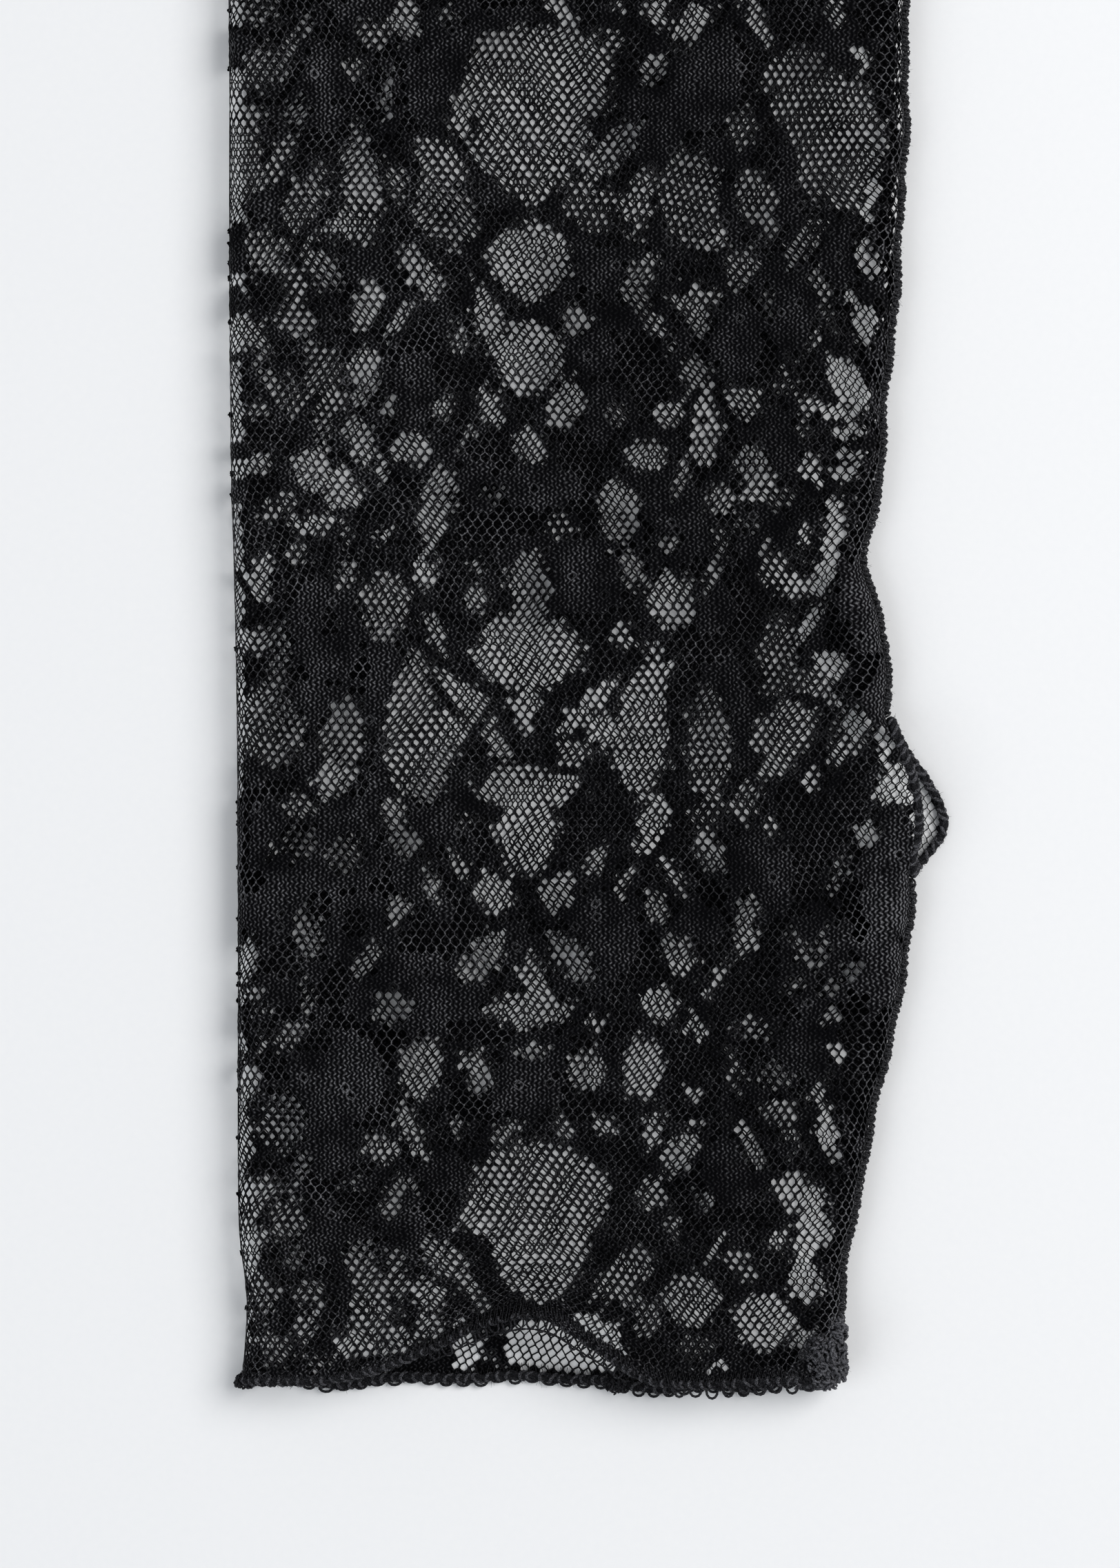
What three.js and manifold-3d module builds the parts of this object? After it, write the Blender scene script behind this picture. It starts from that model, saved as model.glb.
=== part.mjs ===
// A long fingerless lace glove, lying flat on its back wall.
// Millimetres, +Z up. +Y runs from the finger opening to the arm opening, +X to the thumb.
// The origin is under the middle of the glove, on the surface it lies on.

import * as THREE from "three";
import { mergeVertices } from "three/addons/utils/BufferGeometryUtils.js";
import Module from "manifold-3d";

// Driving dimensions
const GLOVE_LENGTH = 360;
const FINGER_END_WIDTH = 83;
const ARM_END_WIDTH = 108;
const FOLD_LEAN = 7.5; // how far the folded edge leans in between the arm end and the finger end
const BODY_HEIGHT = 7.2;
const EDGE_ROUND = 4; // half width of the rounded turn at each side
const WALL = 1;
const CROWN = 0.5; // how much higher the front wall stands along its middle
const FOLD_RELIEF = 0.8;

const MOUTH_RISE = 9.6; // how far the front edge of the finger opening is drawn back
const MOUTH_LIFT = 4.6; // how far it arches up there
const MOUTH_DEPTH = 42; // how far in the arch dies out

const THUMB_FROM = 71.5;
const THUMB_SLIT = 21;
const THUMB_FLARE = 5.4; // how far the back lip of the thumb opening stands out past the side

const HEM_THICKNESS = 1.4;
const SEAM_THICKNESS = 1;
const GAP = 0.32; // clearance between neighbouring pieces

const LACE_REPEAT = 151;
const LACE_AXIS = 41.6; // from the folded edge to the line that the lace mirrors about
const LACE_HALF = 44; // the half width that the chart of windows is drawn to
const WINDOW_SIDES = 8;
const WINDOW_MARGIN = 1.6; // least cloth between a window and an edge or a rounded side

const HEM_SIDES = 6;
const HEM_STEPS = 60;
const THUMB_STEPS = 30;
const SEAM_SIDES = 6;
const FRONT_STEPS = 12; // facets across the front wall
const BACK_STEPS = 6; // and across the flat back wall
const TURN_STEPS = 4; // facets round each side
const MOUTH_STATIONS = 6;
const THUMB_STATIONS = 10;
const PALM_STATIONS = 3;
const ARM_STATIONS = 15;

const HEM_RADIUS = HEM_THICKNESS / 2;
const SEAM_RADIUS = SEAM_THICKNESS / 2;
const CLOTH_END = HEM_THICKNESS + GAP; // the cloth stops this far inside the glove's ends

// The flat outline. along: share of the glove's length from the finger end. fold: share of
// FOLD_LEAN at the folded edge. spread: share of the way from the finger end's width to the
// arm end's.
const SECTIONS = [
  { along: 0.0, fold: 1.03, spread: 0.0 },
  { along: 0.035, fold: 1.13, spread: -0.01 },
  { along: 0.06, fold: 1.0, spread: 0.07 },
  { along: 0.085, fold: 0.97, spread: 0.15 },
  { along: 0.1375, fold: 0.97, spread: 0.29 },
  { along: 0.19, fold: 0.97, spread: 0.42 },
  { along: 0.257, fold: 0.95, spread: 0.3 },
  { along: 0.293, fold: 0.92, spread: 0.26 },
  { along: 0.319, fold: 0.89, spread: 0.18 },
  { along: 0.347, fold: 0.85, spread: 0.27 },
  { along: 0.4, fold: 0.82, spread: 0.35 },
  { along: 0.452, fold: 0.81, spread: 0.4 },
  { along: 0.53, fold: 0.8, spread: 0.45 },
  { along: 0.72, fold: 0.55, spread: 0.67 },
  { along: 0.89, fold: 0.2, spread: 0.88 },
  { along: 1.0, fold: 0.0, spread: 1.0 },
];

// The edge of the finger opening. across: share of the flat from the fold to the seam. front
// and back: shares of MOUTH_RISE that each edge is drawn back. lift: share of MOUTH_LIFT.
const MOUTH = [
  { across: 0.0, front: 0.12, back: 0.12, lift: 0.0 },
  { across: 0.1, front: 0.14, back: 0.03, lift: 0.03 },
  { across: 0.2, front: 0.3, back: 0.08, lift: 0.12 },
  { across: 0.3, front: 0.62, back: 0.16, lift: 0.45 },
  { across: 0.4, front: 0.98, back: 0.1, lift: 0.88 },
  { across: 0.5, front: 1.08, back: 0.13, lift: 1.0 },
  { across: 0.6, front: 0.66, back: 0.04, lift: 0.62 },
  { across: 0.7, front: 0.18, back: 0.0, lift: 0.18 },
  { across: 0.8, front: 0.08, back: 0.0, lift: 0.04 },
  { across: 0.9, front: 0.12, back: 0.0, lift: 0.0 },
  { across: 1.0, front: 0.14, back: 0.1, lift: 0.0 },
];

// The lips of the thumb opening. along: share of its length from the finger side. front and
// back: shares of THUMB_FLARE that each lip stands out. open: how far the side has turned into
// two flat lips, from 0, still round, to 1.
const LIPS = [
  { along: 0.0, front: 0.0, back: 0.0, open: 0.0 },
  { along: 0.12, front: 0.0, back: 0.42, open: 0.5 },
  { along: 0.25, front: 0.14, back: 0.86, open: 0.85 },
  { along: 0.4, front: 0.24, back: 0.96, open: 1.0 },
  { along: 0.6, front: 0.22, back: 0.66, open: 1.0 },
  { along: 0.8, front: 0.06, back: 0.3, open: 0.65 },
  { along: 1.0, front: 0.0, back: 0.0, open: 0.0 },
];

// Soft folds and dents of the front wall. along and length: shares of the glove's length.
// across and width: shares of its flat width. rise: share of FOLD_RELIEF, below 0 for a dent.
// lean: how much of its width a fold moves across over its length.
const FOLDS = [
  { along: 0.075, across: 0.18, length: 0.07, width: 0.13, rise: -0.8, lean: 0.5 },
  { along: 0.1, across: 0.8, length: 0.08, width: 0.1, rise: 0.8, lean: -0.6 },
  { along: 0.17, across: 0.84, length: 0.08, width: 0.07, rise: 0.9, lean: 1.2 },
  { along: 0.2, across: 0.7, length: 0.09, width: 0.07, rise: -0.9, lean: 1.0 },
  { along: 0.27, across: 0.86, length: 0.07, width: 0.07, rise: 0.9, lean: -1.2 },
  { along: 0.31, across: 0.55, length: 0.07, width: 0.16, rise: -0.7, lean: 0.4 },
  { along: 0.33, across: 0.14, length: 0.1, width: 0.1, rise: 0.7, lean: 0.3 },
  { along: 0.47, across: 0.76, length: 0.12, width: 0.12, rise: -0.8, lean: -0.5 },
  { along: 0.55, across: 0.3, length: 0.12, width: 0.14, rise: 0.6, lean: 0.5 },
  { along: 0.7, across: 0.62, length: 0.12, width: 0.14, rise: -0.7, lean: 0.4 },
  { along: 0.85, across: 0.35, length: 0.12, width: 0.14, rise: 0.7, lean: -0.5 },
];

// The larger open windows of the lace, one repeat of them. along and tall: shares of
// LACE_REPEAT. across and wide: shares of LACE_HALF from the mirror line. point: 1 is a
// diamond and 2 an oval. pair: whether the window has a mirror image.
const WINDOWS = [
  { along: 0.168, across: 0.0, tall: 0.122, wide: 0.44, point: 1.8, pair: false },
  { along: 0.362, across: 0.0, tall: 0.06, wide: 0.24, point: 1.3, pair: false },
  { along: 0.515, across: 0.0, tall: 0.094, wide: 0.29, point: 1.7, pair: false },
  { along: 0.676, across: 0.0, tall: 0.146, wide: 0.43, point: 1.4, pair: false },
  { along: 0.942, across: 0.0, tall: 0.062, wide: 0.21, point: 1.8, pair: false },
  { along: 1.024, across: 0.0, tall: 0.066, wide: 0.27, point: 1.8, pair: false },
  { along: 0.087, across: 0.51, tall: 0.08, wide: 0.17, point: 1.7, pair: true },
  { along: 0.108, across: 0.3, tall: 0.05, wide: 0.13, point: 1.7, pair: true },
  { along: 0.295, across: 0.34, tall: 0.058, wide: 0.15, point: 1.7, pair: true },
  { along: 0.398, across: 0.16, tall: 0.044, wide: 0.16, point: 1.8, pair: true },
  { along: 0.586, across: 0.56, tall: 0.094, wide: 0.18, point: 1.7, pair: true },
  { along: 0.601, across: 0.34, tall: 0.136, wide: 0.18, point: 1.6, pair: true },
  { along: 0.711, across: 0.47, tall: 0.058, wide: 0.17, point: 1.8, pair: true },
  { along: 0.797, across: 0.29, tall: 0.06, wide: 0.14, point: 1.6, pair: true },
  { along: 0.138, across: 0.77, tall: 0.11, wide: 0.15, point: 1.8, pair: false },
  { along: 0.63, across: 0.8, tall: 0.11, wide: 0.17, point: 1.7, pair: false },
  { along: 0.829, across: 0.7, tall: 0.05, wide: 0.13, point: 1.8, pair: false },
  { along: 0.18, across: -0.69, tall: 0.056, wide: 0.14, point: 1.8, pair: false },
  { along: 0.645, across: -0.71, tall: 0.1, wide: 0.12, point: 1.8, pair: false },
];

const yarn = (color, roughness) => new THREE.MeshStandardMaterial({ color, roughness, metalness: 0 });
const laceYarn = yarn(0x16161a, 0.75);
const hemYarn = yarn(0x1c1c20, 0.7);

// Reads a column of a table between its rows, on a smooth curve through them
function read(rows, key, column, at) {
  const last = rows.length - 1;
  if (at <= rows[0][key]) return rows[0][column];
  if (at >= rows[last][key]) return rows[last][column];
  const i = rows.findIndex((row) => row[key] > at) - 1;
  const slope = (k) => {
    const a = rows[Math.max(k - 1, 0)];
    const b = rows[Math.min(k + 1, last)];
    return (b[column] - a[column]) / (b[key] - a[key]);
  };
  const span = rows[i + 1][key] - rows[i][key];
  const t = (at - rows[i][key]) / span;
  const rest = 1 - t;
  return (
    rows[i][column] * (1 + 2 * t) * rest * rest +
    rows[i + 1][column] * (3 - 2 * t) * t * t +
    slope(i) * span * t * rest * rest -
    slope(i + 1) * span * t * t * rest
  );
}

const lerp = THREE.MathUtils.lerp;
const clamp = THREE.MathUtils.clamp;

// Distances from here on: v is measured from the finger end along the glove.
const foldEdge = (v) => -ARM_END_WIDTH / 2 + FOLD_LEAN * read(SECTIONS, "along", "fold", v / GLOVE_LENGTH);

function flatWidth(v) {
  const spread = read(SECTIONS, "along", "spread", v / GLOVE_LENGTH);
  return lerp(FINGER_END_WIDTH, ARM_END_WIDTH, spread);
}

// The outer face of the side seam, and the side of the cloth inside it
const seamEdge = (v) => foldEdge(v) + flatWidth(v);
const clothSide = (v) => seamEdge(v) - SEAM_THICKNESS - GAP;

const inThumb = (v) => clamp((v - THUMB_FROM) / THUMB_SLIT, 0, 1);
const lipStand = (v, side) => THUMB_FLARE * read(LIPS, "along", side, inThumb(v));
const lipOpen = (v) => read(LIPS, "along", "open", inThumb(v));

// The cut edge of the cloth along one lip, and the side of the cloth before that cut is made
const lipEdge = (v, side) => clothSide(v) + lipStand(v, side);
const uncutSide = (v) => lipEdge(v, "back") + EDGE_ROUND * lipOpen(v);

const mouthShape = (across, column) => read(MOUTH, "across", column, across);
const mouthFade = (v) => clamp(1 - v / MOUTH_DEPTH, 0, 1) ** 2;

// How far the centre of the finger hem is drawn back. front is 0 on the back wall and 1 on the
// front wall.
function hemDraw(across, front) {
  return HEM_RADIUS + MOUTH_RISE * lerp(mouthShape(across, "back"), mouthShape(across, "front"), front);
}

// The cloth keeps clear of the hem square to the edge, so it draws back more on a slope
function clothDraw(across, front) {
  const step = 0.5 / FRONT_STEPS;
  const before = clamp(across - step, 0, 1);
  const after = clamp(across + step, 0, 1);
  const slope = (hemDraw(after, front) - hemDraw(before, front)) / ((after - before) * FINGER_END_WIDTH);
  return hemDraw(across, front) + (HEM_RADIUS + GAP) * Math.hypot(1, slope);
}

function foldRelief(across, v) {
  const along = v / GLOVE_LENGTH;
  let relief = 0;
  for (const fold of FOLDS) {
    const run = (along - fold.along) / fold.length;
    const off = (across - fold.across) / fold.width - fold.lean * run;
    relief += fold.rise * Math.exp(-run * run * 2 - off * off * 2);
  }
  return FOLD_RELIEF * relief;
}

// Height of the front wall's outer face over the surface
function frontHeight(across, v) {
  const belly = Math.sin(Math.PI * across);
  const arch = MOUTH_LIFT * mouthShape(across, "lift") * mouthFade(v);
  return BODY_HEIGHT + CROWN * belly + arch + foldRelief(across, v) * belly;
}

// Stops round a section, anticlockwise seen from the finger end, from the fold along the back
function sectionStops() {
  const stops = [];
  for (let i = 0; i <= BACK_STEPS; i += 1) {
    stops.push({ across: i / BACK_STEPS, out: 0, up: -1 });
  }
  for (let i = 1; i < TURN_STEPS; i += 1) {
    const turn = (Math.PI * i) / TURN_STEPS;
    stops.push({ across: 1, out: Math.sin(turn), up: -Math.cos(turn) });
  }
  for (let i = FRONT_STEPS; i >= 0; i -= 1) {
    stops.push({ across: i / FRONT_STEPS, out: 0, up: 1 });
  }
  for (let i = 1; i < TURN_STEPS; i += 1) {
    const turn = (Math.PI * i) / TURN_STEPS;
    stops.push({ across: 0, out: -Math.sin(turn), up: Math.cos(turn) });
  }
  return stops;
}

// A point of the section at v. inset moves it into the cloth from the outer face.
function sectionPoint(stop, v, inset) {
  const left = foldEdge(v) + EDGE_ROUND;
  const right = uncutSide(v) - EDGE_ROUND;
  const front = (1 + stop.up) / 2;
  const height = frontHeight(stop.across, v) - 2 * inset;
  return new THREE.Vector3(
    lerp(left, right, stop.across) + stop.out * (EDGE_ROUND - inset),
    v - GLOVE_LENGTH / 2,
    inset + front * height,
  );
}

// The places along the glove where the cloth has a section, closer where it changes fast
function clothStations() {
  const places = [];
  const fill = (from, to, count) => {
    for (let i = 0; i < count; i += 1) places.push(lerp(from, to, i / count));
  };
  fill(0, MOUTH_DEPTH, MOUTH_STATIONS);
  fill(MOUTH_DEPTH, THUMB_FROM, PALM_STATIONS);
  fill(THUMB_FROM, THUMB_FROM + THUMB_SLIT, THUMB_STATIONS);
  fill(THUMB_FROM + THUMB_SLIT, GLOVE_LENGTH - CLOTH_END, ARM_STATIONS);
  places.push(GLOVE_LENGTH - CLOTH_END);
  return places;
}

function closedGeometry(points, faces) {
  const geometry = new THREE.BufferGeometry();
  geometry.setAttribute("position", new THREE.Float32BufferAttribute(points.flatMap((p) => p.toArray()), 3));
  geometry.setIndex(faces);
  return geometry;
}

// The sleeve before anything is cut out of it: an outer skin and an inner one, joined at both ends
function tubeOfCloth() {
  const stops = sectionStops();
  const places = clothStations();
  const points = [];
  for (const inset of [0, WALL]) {
    for (const place of places) {
      for (const stop of stops) {
        const drawn = clothDraw(stop.across, (1 + stop.up) / 2) * mouthFade(place);
        points.push(sectionPoint(stop, place + drawn, inset));
      }
    }
  }
  const around = stops.length;
  const inner = places.length * around;
  const at = (skin, station, stop) => skin * inner + station * around + (stop % around);
  const faces = [];
  const quad = (a, b, c, d) => faces.push(a, c, b, a, d, c);
  for (let j = 0; j < around; j += 1) {
    for (let i = 0; i + 1 < places.length; i += 1) {
      quad(at(0, i, j), at(0, i, j + 1), at(0, i + 1, j + 1), at(0, i + 1, j));
      quad(at(1, i, j), at(1, i + 1, j), at(1, i + 1, j + 1), at(1, i, j + 1));
    }
    const end = places.length - 1;
    quad(at(0, 0, j), at(1, 0, j), at(1, 0, j + 1), at(0, 0, j + 1));
    quad(at(0, end, j), at(0, end, j + 1), at(1, end, j + 1), at(1, end, j));
  }
  return closedGeometry(points, faces);
}

const wasm = await Module();
wasm.setup();

function toSolid(geometry) {
  const bare = geometry.clone();
  bare.deleteAttribute("normal");
  bare.deleteAttribute("uv");
  const merged = mergeVertices(bare, 1e-5);
  const vertProperties = new Float32Array(merged.attributes.position.array);
  const triVerts = new Uint32Array(merged.index.array);
  return new wasm.Manifold(new wasm.Mesh({ numProp: 3, vertProperties, triVerts }));
}

function toGeometry(solid) {
  const mesh = solid.getMesh();
  const geometry = new THREE.BufferGeometry();
  geometry.setAttribute("position", new THREE.BufferAttribute(mesh.vertProperties, 3));
  geometry.setIndex(new THREE.BufferAttribute(mesh.triVerts, 1));
  return geometry;
}

// A straight-sided plug with a flat outline, from one height to another
function plug(outline, low, high) {
  const geometry = new THREE.ExtrudeGeometry(new THREE.Shape(outline), {
    depth: high - low,
    bevelEnabled: false,
  });
  return toSolid(geometry.translate(0, 0, low));
}

const ABOVE = BODY_HEIGHT + CROWN + MOUTH_LIFT + FOLD_RELIEF * 2 + WALL;
const BELOW = -WALL;

// What the thumb opening takes out of one wall: all that lies past the lip
function lipPlug(side, low, high) {
  const outline = [];
  for (let i = 0; i <= THUMB_STATIONS * 2; i += 1) {
    const v = lerp(THUMB_FROM, THUMB_FROM + THUMB_SLIT, i / (THUMB_STATIONS * 2));
    outline.push(new THREE.Vector2(lipEdge(v, side), v - GLOVE_LENGTH / 2));
  }
  const beyond = Math.max(...outline.map((p) => p.x)) + 3 * EDGE_ROUND;
  outline.push(new THREE.Vector2(beyond, outline[outline.length - 1].y));
  outline.push(new THREE.Vector2(beyond, outline[0].y));
  return plug(outline.reverse(), low, high);
}

// Whether a window at v and x keeps enough cloth on all sides
function windowFits(v, x, tall, wide) {
  const reach = wide / 2 + WINDOW_MARGIN;
  for (const end of [v - tall / 2, v + tall / 2]) {
    if (x - reach < foldEdge(end) + EDGE_ROUND) return false;
    if (x + reach > clothSide(end) - EDGE_ROUND) return false;
  }
  if (v + tall / 2 + WINDOW_MARGIN > GLOVE_LENGTH - CLOTH_END) return false;
  for (const side of [x - wide / 2, x, x + wide / 2]) {
    const across = clamp((side - foldEdge(0)) / FINGER_END_WIDTH, 0, 1);
    const edge = Math.max(clothDraw(across, 0), clothDraw(across, 1));
    if (v - tall / 2 - 2 * WINDOW_MARGIN < edge) return false;
  }
  return true;
}

function windowOutline(x, y, wide, tall, point) {
  const corner = (t) => Math.sign(t) * Math.abs(t) ** (2 / point);
  const outline = [];
  for (let i = 0; i < WINDOW_SIDES; i += 1) {
    const turn = (2 * Math.PI * i) / WINDOW_SIDES;
    outline.push(
      new THREE.Vector2(x + (wide / 2) * corner(Math.cos(turn)), y + (tall / 2) * corner(Math.sin(turn))),
    );
  }
  return outline;
}

function windowPlugs() {
  const plugs = [];
  for (let copy = 0; copy * LACE_REPEAT < GLOVE_LENGTH; copy += 1) {
    for (const hole of WINDOWS) {
      const v = (hole.along + copy) * LACE_REPEAT;
      if (v > GLOVE_LENGTH) continue;
      const tall = hole.tall * LACE_REPEAT;
      const wide = hole.wide * LACE_HALF;
      for (const mirror of hole.pair ? [1, -1] : [1]) {
        const x = foldEdge(v) + LACE_AXIS + mirror * hole.across * LACE_HALF;
        if (!windowFits(v, x, tall, wide)) continue;
        plugs.push(plug(windowOutline(x, v - GLOVE_LENGTH / 2, wide, tall, hole.point), BELOW, ABOVE));
      }
    }
  }
  return plugs;
}

function laceSleeve() {
  const middle = BODY_HEIGHT / 2;
  const cuts = [lipPlug("back", BELOW, middle), lipPlug("front", middle, ABOVE), ...windowPlugs()];
  return toGeometry(toSolid(tubeOfCloth()).subtract(wasm.Manifold.union(cuts)));
}

// A round cord on a path, lying on or above the surface that the glove lies on. A closed path
// gives a ring, an open one gets flat ends.
function cord(points, radius, sides, steps, closed) {
  const path = new THREE.CatmullRomCurve3(points, closed, "centripetal");
  const frames = path.computeFrenetFrames(steps, closed);
  const rings = closed ? steps : steps + 1;
  const ringPoints = [];
  for (let i = 0; i < rings; i += 1) {
    const centre = path.getPointAt(i / steps);
    centre.z = Math.max(centre.z, radius);
    for (let j = 0; j < sides; j += 1) {
      const turn = (2 * Math.PI * j) / sides;
      ringPoints.push(
        centre
          .clone()
          .addScaledVector(frames.normals[i], radius * Math.cos(turn))
          .addScaledVector(frames.binormals[i], radius * Math.sin(turn)),
      );
    }
  }
  const at = (ring, side) => (ring % rings) * sides + (side % sides);
  const faces = [];
  for (let i = 0; i < (closed ? rings : rings - 1); i += 1) {
    for (let j = 0; j < sides; j += 1) {
      faces.push(at(i, j), at(i, j + 1), at(i + 1, j + 1));
      faces.push(at(i, j), at(i + 1, j + 1), at(i + 1, j));
    }
  }
  if (!closed) {
    for (let j = 1; j + 1 < sides; j += 1) {
      faces.push(at(0, 0), at(0, j + 1), at(0, j));
      faces.push(at(rings - 1, 0), at(rings - 1, j), at(rings - 1, j + 1));
    }
  }
  return closedGeometry(ringPoints, faces);
}

// A point of a hem that binds the edge of the tube at v, flush with the cloth's outer faces
function hemPoint(stop, v) {
  return sectionPoint(stop, v, HEM_RADIUS);
}

function fingerHem() {
  const points = sectionStops().map((stop) => hemPoint(stop, hemDraw(stop.across, (1 + stop.up) / 2)));
  return cord(points, HEM_RADIUS, HEM_SIDES, HEM_STEPS, true);
}

function armHem() {
  const points = sectionStops().map((stop) => hemPoint(stop, GLOVE_LENGTH - HEM_RADIUS));
  return cord(points, HEM_RADIUS, HEM_SIDES, HEM_STEPS, true);
}

// The hem round the thumb opening runs up the back lip and down the front one, and turns
// round the side where the two meet
function thumbHem() {
  const middle = BODY_HEIGHT / 2;
  const points = [];
  const place = (along, side, up) => {
    const v = THUMB_FROM + along * THUMB_SLIT;
    const flat = Math.sqrt(1 - (1 - clamp(lipOpen(v), 0, 1)) ** 2);
    const x = lipEdge(v, side) + GAP + HEM_RADIUS;
    points.push(new THREE.Vector3(x, v - GLOVE_LENGTH / 2, middle + up * flat * (middle - HEM_RADIUS)));
  };
  for (let i = 0; i < THUMB_STATIONS; i += 1) place(i / THUMB_STATIONS, "back", -1);
  for (let i = THUMB_STATIONS; i > 0; i -= 1) place(i / THUMB_STATIONS, "front", 1);
  return cord(points, HEM_RADIUS, HEM_SIDES, THUMB_STEPS, true);
}

// The seam joins the two walls down the side, from one end to another
function sideSeam(from, to, stations) {
  const points = [];
  for (let i = 0; i <= stations; i += 1) {
    const v = lerp(from, to, i / stations);
    const x = uncutSide(v) + GAP + SEAM_RADIUS;
    points.push(new THREE.Vector3(x, v - GLOVE_LENGTH / 2, BODY_HEIGHT / 2));
  }
  return cord(points, SEAM_RADIUS, SEAM_SIDES, stations, false);
}

const glove = new THREE.Group();

function add(name, geometry, material) {
  geometry.computeVertexNormals();
  const mesh = new THREE.Mesh(geometry, material);
  mesh.name = name;
  glove.add(mesh);
}

const seamStart = hemDraw(1, 0.5) + HEM_RADIUS + GAP;
const thumbEnd = THUMB_FROM + THUMB_SLIT + HEM_RADIUS + GAP;

add("lace_sleeve", laceSleeve(), laceYarn);
add("finger_hem", fingerHem(), hemYarn);
add("thumb_hem", thumbHem(), hemYarn);
add("arm_hem", armHem(), hemYarn);
add("hand_seam", sideSeam(seamStart, THUMB_FROM - HEM_RADIUS - GAP, PALM_STATIONS * 4), hemYarn);
add("arm_seam", sideSeam(thumbEnd, GLOVE_LENGTH - CLOTH_END, ARM_STATIONS), hemYarn);

export default glove;
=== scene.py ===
"""A long fingerless lace glove, lying flat on white paper and seen straight from above.

The glove is one panel of warp-knit lace. A point of it is given by q, its distance round the
glove from the folded edge (front above zero, back below), and w, its distance from the finger
end. Lengths are in millimetres until a mesh is made.
"""

import functools
import math

import bpy
import numpy as np
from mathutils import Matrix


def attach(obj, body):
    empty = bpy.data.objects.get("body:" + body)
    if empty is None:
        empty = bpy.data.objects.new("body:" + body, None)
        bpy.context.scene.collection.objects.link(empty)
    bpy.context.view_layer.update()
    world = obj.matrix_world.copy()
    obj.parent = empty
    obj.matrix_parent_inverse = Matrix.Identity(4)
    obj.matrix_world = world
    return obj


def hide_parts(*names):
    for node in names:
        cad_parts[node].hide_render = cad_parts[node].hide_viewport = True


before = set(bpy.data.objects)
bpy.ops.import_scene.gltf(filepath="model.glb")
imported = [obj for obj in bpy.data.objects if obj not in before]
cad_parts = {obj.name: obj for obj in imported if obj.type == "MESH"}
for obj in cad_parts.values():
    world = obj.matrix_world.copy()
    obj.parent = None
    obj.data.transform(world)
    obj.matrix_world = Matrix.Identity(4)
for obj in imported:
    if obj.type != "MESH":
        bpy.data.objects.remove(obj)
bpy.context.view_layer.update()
MM = 0.001
rng = np.random.default_rng(7)

# The glove's sizes, as in its solids
GLOVE_LENGTH = 360
FINGER_END_WIDTH = 83
ARM_END_WIDTH = 108
FOLD_LEAN = 7.5
BODY_HEIGHT = 7.2
EDGE_ROUND = 4
CROWN = 0.5
FOLD_RELIEF = 0.8
MOUTH_RISE = 9.6
MOUTH_LIFT = 4.6
MOUTH_DEPTH = 42
THUMB_FROM = 71.5
THUMB_SLIT = 21
THUMB_FLARE = 5.4
HEM_RADIUS = 0.7
SEAM_RADIUS = 0.5
GAP = 0.32
LACE_REPEAT = 150.8
LACE_AXIS = 41.6  # from the folded edge to the line that the lace mirrors about

# along, fold, spread
SECTIONS = [
    (0.0, 1.03, 0.0),
    (0.035, 1.13, -0.01),
    (0.06, 1.0, 0.07),
    (0.085, 0.97, 0.15),
    (0.1375, 0.97, 0.29),
    (0.19, 0.97, 0.42),
    (0.257, 0.95, 0.3),
    (0.293, 0.92, 0.26),
    (0.319, 0.89, 0.18),
    (0.347, 0.85, 0.27),
    (0.4, 0.82, 0.35),
    (0.452, 0.81, 0.4),
    (0.53, 0.8, 0.45),
    (0.72, 0.55, 0.67),
    (0.89, 0.2, 0.88),
    (1.0, 0.0, 1.0),
]

# across, front, back, lift
MOUTH = [
    (0.0, 0.12, 0.12, 0.0),
    (0.1, 0.14, 0.03, 0.03),
    (0.2, 0.3, 0.08, 0.12),
    (0.3, 0.62, 0.16, 0.45),
    (0.4, 0.98, 0.1, 0.88),
    (0.5, 1.08, 0.13, 1.0),
    (0.6, 0.66, 0.04, 0.62),
    (0.7, 0.18, 0.0, 0.18),
    (0.8, 0.08, 0.0, 0.04),
    (0.9, 0.12, 0.0, 0.0),
    (1.0, 0.14, 0.1, 0.0),
]

# along, front, back, open
LIPS = [
    (0.0, 0.0, 0.0, 0.0),
    (0.12, 0.0, 0.42, 0.5),
    (0.25, 0.2, 0.86, 0.85),
    (0.4, 0.3, 0.96, 1.0),
    (0.6, 0.32, 0.7, 1.0),
    (0.8, 0.16, 0.3, 0.65),
    (1.0, 0.0, 0.0, 0.0),
]

# along, across, length, width, rise, lean
FOLDS = [
    (0.075, 0.18, 0.07, 0.13, -0.8, 0.5),
    (0.1, 0.8, 0.08, 0.1, 0.8, -0.6),
    (0.17, 0.84, 0.08, 0.07, 0.9, 1.2),
    (0.2, 0.7, 0.09, 0.07, -0.9, 1.0),
    (0.27, 0.86, 0.07, 0.07, 0.9, -1.2),
    (0.31, 0.55, 0.07, 0.16, -0.7, 0.4),
    (0.33, 0.14, 0.1, 0.1, 0.7, 0.3),
    (0.47, 0.76, 0.12, 0.12, -0.8, -0.5),
    (0.55, 0.3, 0.12, 0.14, 0.6, 0.5),
    (0.7, 0.62, 0.12, 0.14, -0.7, 0.4),
    (0.85, 0.35, 0.12, 0.14, 0.7, -0.5),
]

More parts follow.
